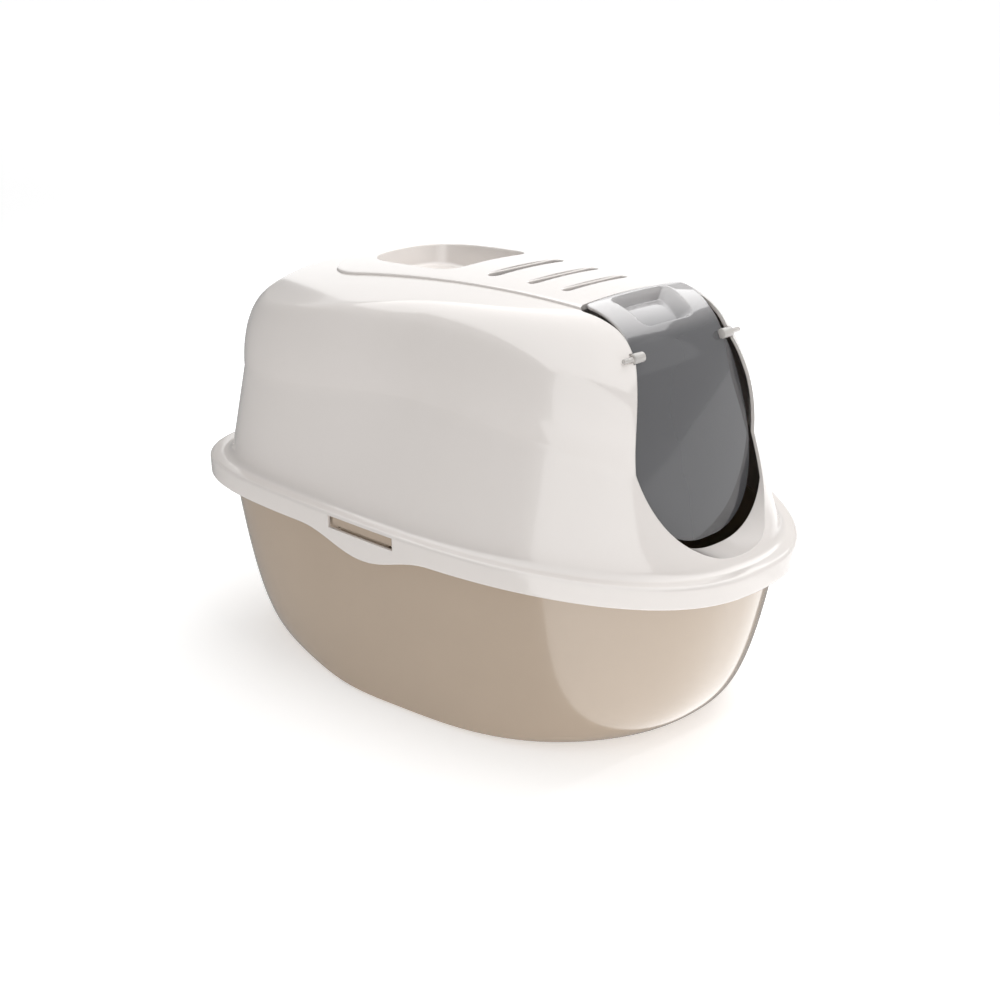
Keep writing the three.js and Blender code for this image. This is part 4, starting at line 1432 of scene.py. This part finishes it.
# ---- stage --------------------------------------------------------------------------------------
@dataclass
class Studio:
    """Pale floor, soft lights and the camera."""

    lens: float = 50.4
    camera_mm: tuple[float, float, float] = (-788.24, -867.44, 657.8)
    dim: float = 0.3
    flag: float = 0.05
    rear: float = 1.25
    ceiling: float = 2.6
    sheen: float = 1.8
    panel: float = 2.1
    room: float = 0.66
    backdrop: float = 1.05
    floor_glow: float = 0.4

    def floor(self) -> None:
        """A wide plain floor that looks the same pale white as the backdrop."""
        mesh = bpy.data.meshes.new("floor")
        mesh.from_pydata([(-9, -9, 0), (9, -9, 0), (9, 9, 0), (-9, 9, 0)], [], [[0, 1, 2, 3]])
        obj = bpy.data.objects.new("floor", mesh)
        bpy.context.scene.collection.objects.link(obj)
        material = bpy.data.materials.new("pale_floor")
        material.use_nodes = True
        shader = material.node_tree.nodes["Principled BSDF"]
        shader.inputs["Base Color"].default_value = (0.93, 0.93, 0.93, 1)
        shader.inputs["Roughness"].default_value = 0.6
        shader.inputs["Specular IOR Level"].default_value = 0.1
        shader.inputs["Emission Color"].default_value = (1, 1, 1, 1)
        shader.inputs["Emission Strength"].default_value = self.floor_glow
        mesh.materials.append(material)

    def softbox(
        self,
        name: str,
        place: Sequence[float],
        target: Sequence[float],
        size: tuple[float, float],
        power: float,
    ) -> None:
        """Rectangular area light at a place, turned to a target, all in metres.

        Args:
            name: its name.
            place: where it is.
            target: where it points.
            size: its two sides.
            power: watts.
        """
        light = bpy.data.lights.new(name, "AREA")
        light.shape = "RECTANGLE"
        light.size, light.size_y = size
        light.energy = power
        obj = bpy.data.objects.new(name, light)
        obj.location = place
        way = Vector(target) - Vector(place)
        obj.rotation_euler = way.to_track_quat("-Z", "Y").to_euler()
        bpy.context.scene.collection.objects.link(obj)

    def camera(self) -> None:
        """Camera at its place, with its axes right, up and back."""
        data = bpy.data.cameras.new("camera")
        data.lens = self.lens
        data.sensor_width = 36
        data.clip_end = 50
        obj = bpy.data.objects.new("camera", data)
        right = Vector((0.7536, -0.6574, 0)).normalized()
        back = Vector((-0.6028, -0.6910, 0.3989)).normalized()
        up = back.cross(right).normalized()
        back = right.cross(up)
        basis = Matrix((right, up, back)).transposed().to_4x4()
        obj.matrix_world = Matrix.Translation(Vector(self.camera_mm) * MM) @ basis
        bpy.context.scene.collection.objects.link(obj)
        bpy.context.scene.camera = obj

    def card(
        self,
        name: str,
        corners: list[tuple[float, float, float]],
        glow: float,
        see: tuple[bool, bool, bool],
    ) -> None:
        """Flat glowing sheet that the camera doesn't see.

        Args:
            name: its name.
            corners: four places in metres.
            glow: its radiance.
            see: whether diffuse rays, glossy rays and rays through glass meet it.
        """
        mesh = bpy.data.meshes.new(name)
        mesh.from_pydata(corners, [], [[0, 1, 2, 3]])
        obj = bpy.data.objects.new(name, mesh)
        bpy.context.scene.collection.objects.link(obj)
        material = bpy.data.materials.new(name)
        material.use_nodes = True
        tree = material.node_tree
        tree.nodes.clear()
        shine = add_node(tree, "ShaderNodeEmission", {"Strength": glow})
        add_node(tree, "ShaderNodeOutputMaterial", links={0: shine.outputs[0]})
        mesh.materials.append(material)
        obj.visible_camera = False
        obj.visible_shadow = False
        obj.visible_diffuse, obj.visible_glossy, obj.visible_transmission = see

    def cards(self) -> None:
        """The sheets round the box: a dim wall at its rear left, a bright ceiling that ends in a
        straight edge over that wall, and a bright floor sheet and panel in front of it."""
        toward = np.array([math.sin(math.radians(-32)), math.cos(math.radians(-32))])
        along = np.array([toward[1], -toward[0]])

        def place(out: float, side: float, z: float) -> tuple[float, float, float]:
            """Place at a distance out from the box and to the side, at a height."""
            x, y = toward * out + along * side
            return (float(x), float(y), z)

        self.card(
            "dim_wall",
            [
                place(1.25, -2.2, 0),
                place(1.25, 1.6, 0),
                place(1.25, 1.6, 1.0),
                place(1.25, -2.2, 1.5),
            ],
            self.dim, (False, True, False),
        )
        self.card(
            "dim_flag",
            [place(1.2, -2, 0.4), place(1.2, 2, 0.4), place(1.2, 2, 1.7), place(1.2, -2, 1.7)],
            self.flag, (True, False, False),
        )
        self.card(
            "dim_floor",
            [(-2.4, 0.0, 0.001), (0.3, -0.231, 0.001), (0.9, 1.6, 0.001), (-2.4, 1.6, 0.001)],
            self.dim, (False, True, False),
        )
        self.card(
            "rear_panel",
            [place(1.24, 1.6, 0), place(0.2, 3.0, 0), place(0.2, 3.0, 1.7), place(1.24, 1.6, 1.7)],
            self.rear, (False, True, False),
        )
        self.card(
            "ceiling_edge",
            [
                place(1.3, -2.4, 1.6),
                place(1.3, 2.4, 1.6),
                place(-1.2, 2.4, 1.6),
                place(-1.2, -2.4, 1.6),
            ],
            self.ceiling, (False, True, False),
        )
        self.card(
            "floor_sheen",
            [(-2.4, -0.01, 0.001), (-2.4, -2.4, 0.001), (0.3, -2.4, 0.001), (0.3, -0.231, 0.001)],
            self.sheen, (False, True, False),
        )
        self.card(
            "front_panel",
            [(-1.6, -0.22, 0.0), (-1.6, -2.6, 0.0), (-1.6, -2.6, 1.2), (-1.6, -0.22, 1.2)],
            self.panel, (False, True, False),
        )

    def build(self) -> None:
        """Sets up the floor, the lights, the surroundings and the camera."""
        bpy.context.scene.view_settings.view_transform = "Standard"
        self.floor()
        self.camera()
        self.cards()
        self.softbox("top_box", (0.5, 0.0, 1.9), (0, 0, 0.2), (1.9, 1.9), 19)
        self.softbox("front_right_box", (1.3, -1.9, 1.2), (0, -0.1, 0.2), (1.2, 1.5), 1.2)
        world = bpy.data.worlds.new("surroundings")
        world.use_nodes = True
        back = world.node_tree.nodes["Background"]
        back.inputs["Color"].default_value = (1, 1, 1, 1)
        seen = add_node(world.node_tree, "ShaderNodeLightPath").outputs["Is Camera Ray"]
        glow = add_node(
            world.node_tree, "ShaderNodeMapRange", {3: self.room, 4: self.backdrop}, {0: seen}
        )
        world.node_tree.links.new(glow.outputs[0], back.inputs["Strength"])
        bpy.context.scene.world = world


def main() -> None:
    """Builds the litter box, piece by piece."""
    logging.basicConfig(level=logging.INFO, format="%(message)s")
    dresser = Dresser()
    Studio().build()
    Tub().build(dresser)
    Hood().build(dresser)
    Door().build(dresser)
    Latch(1).build(dresser)
    Latch(-1).build(dresser)
    Filter().build(dresser)


if __name__ == "__main__":
    main()
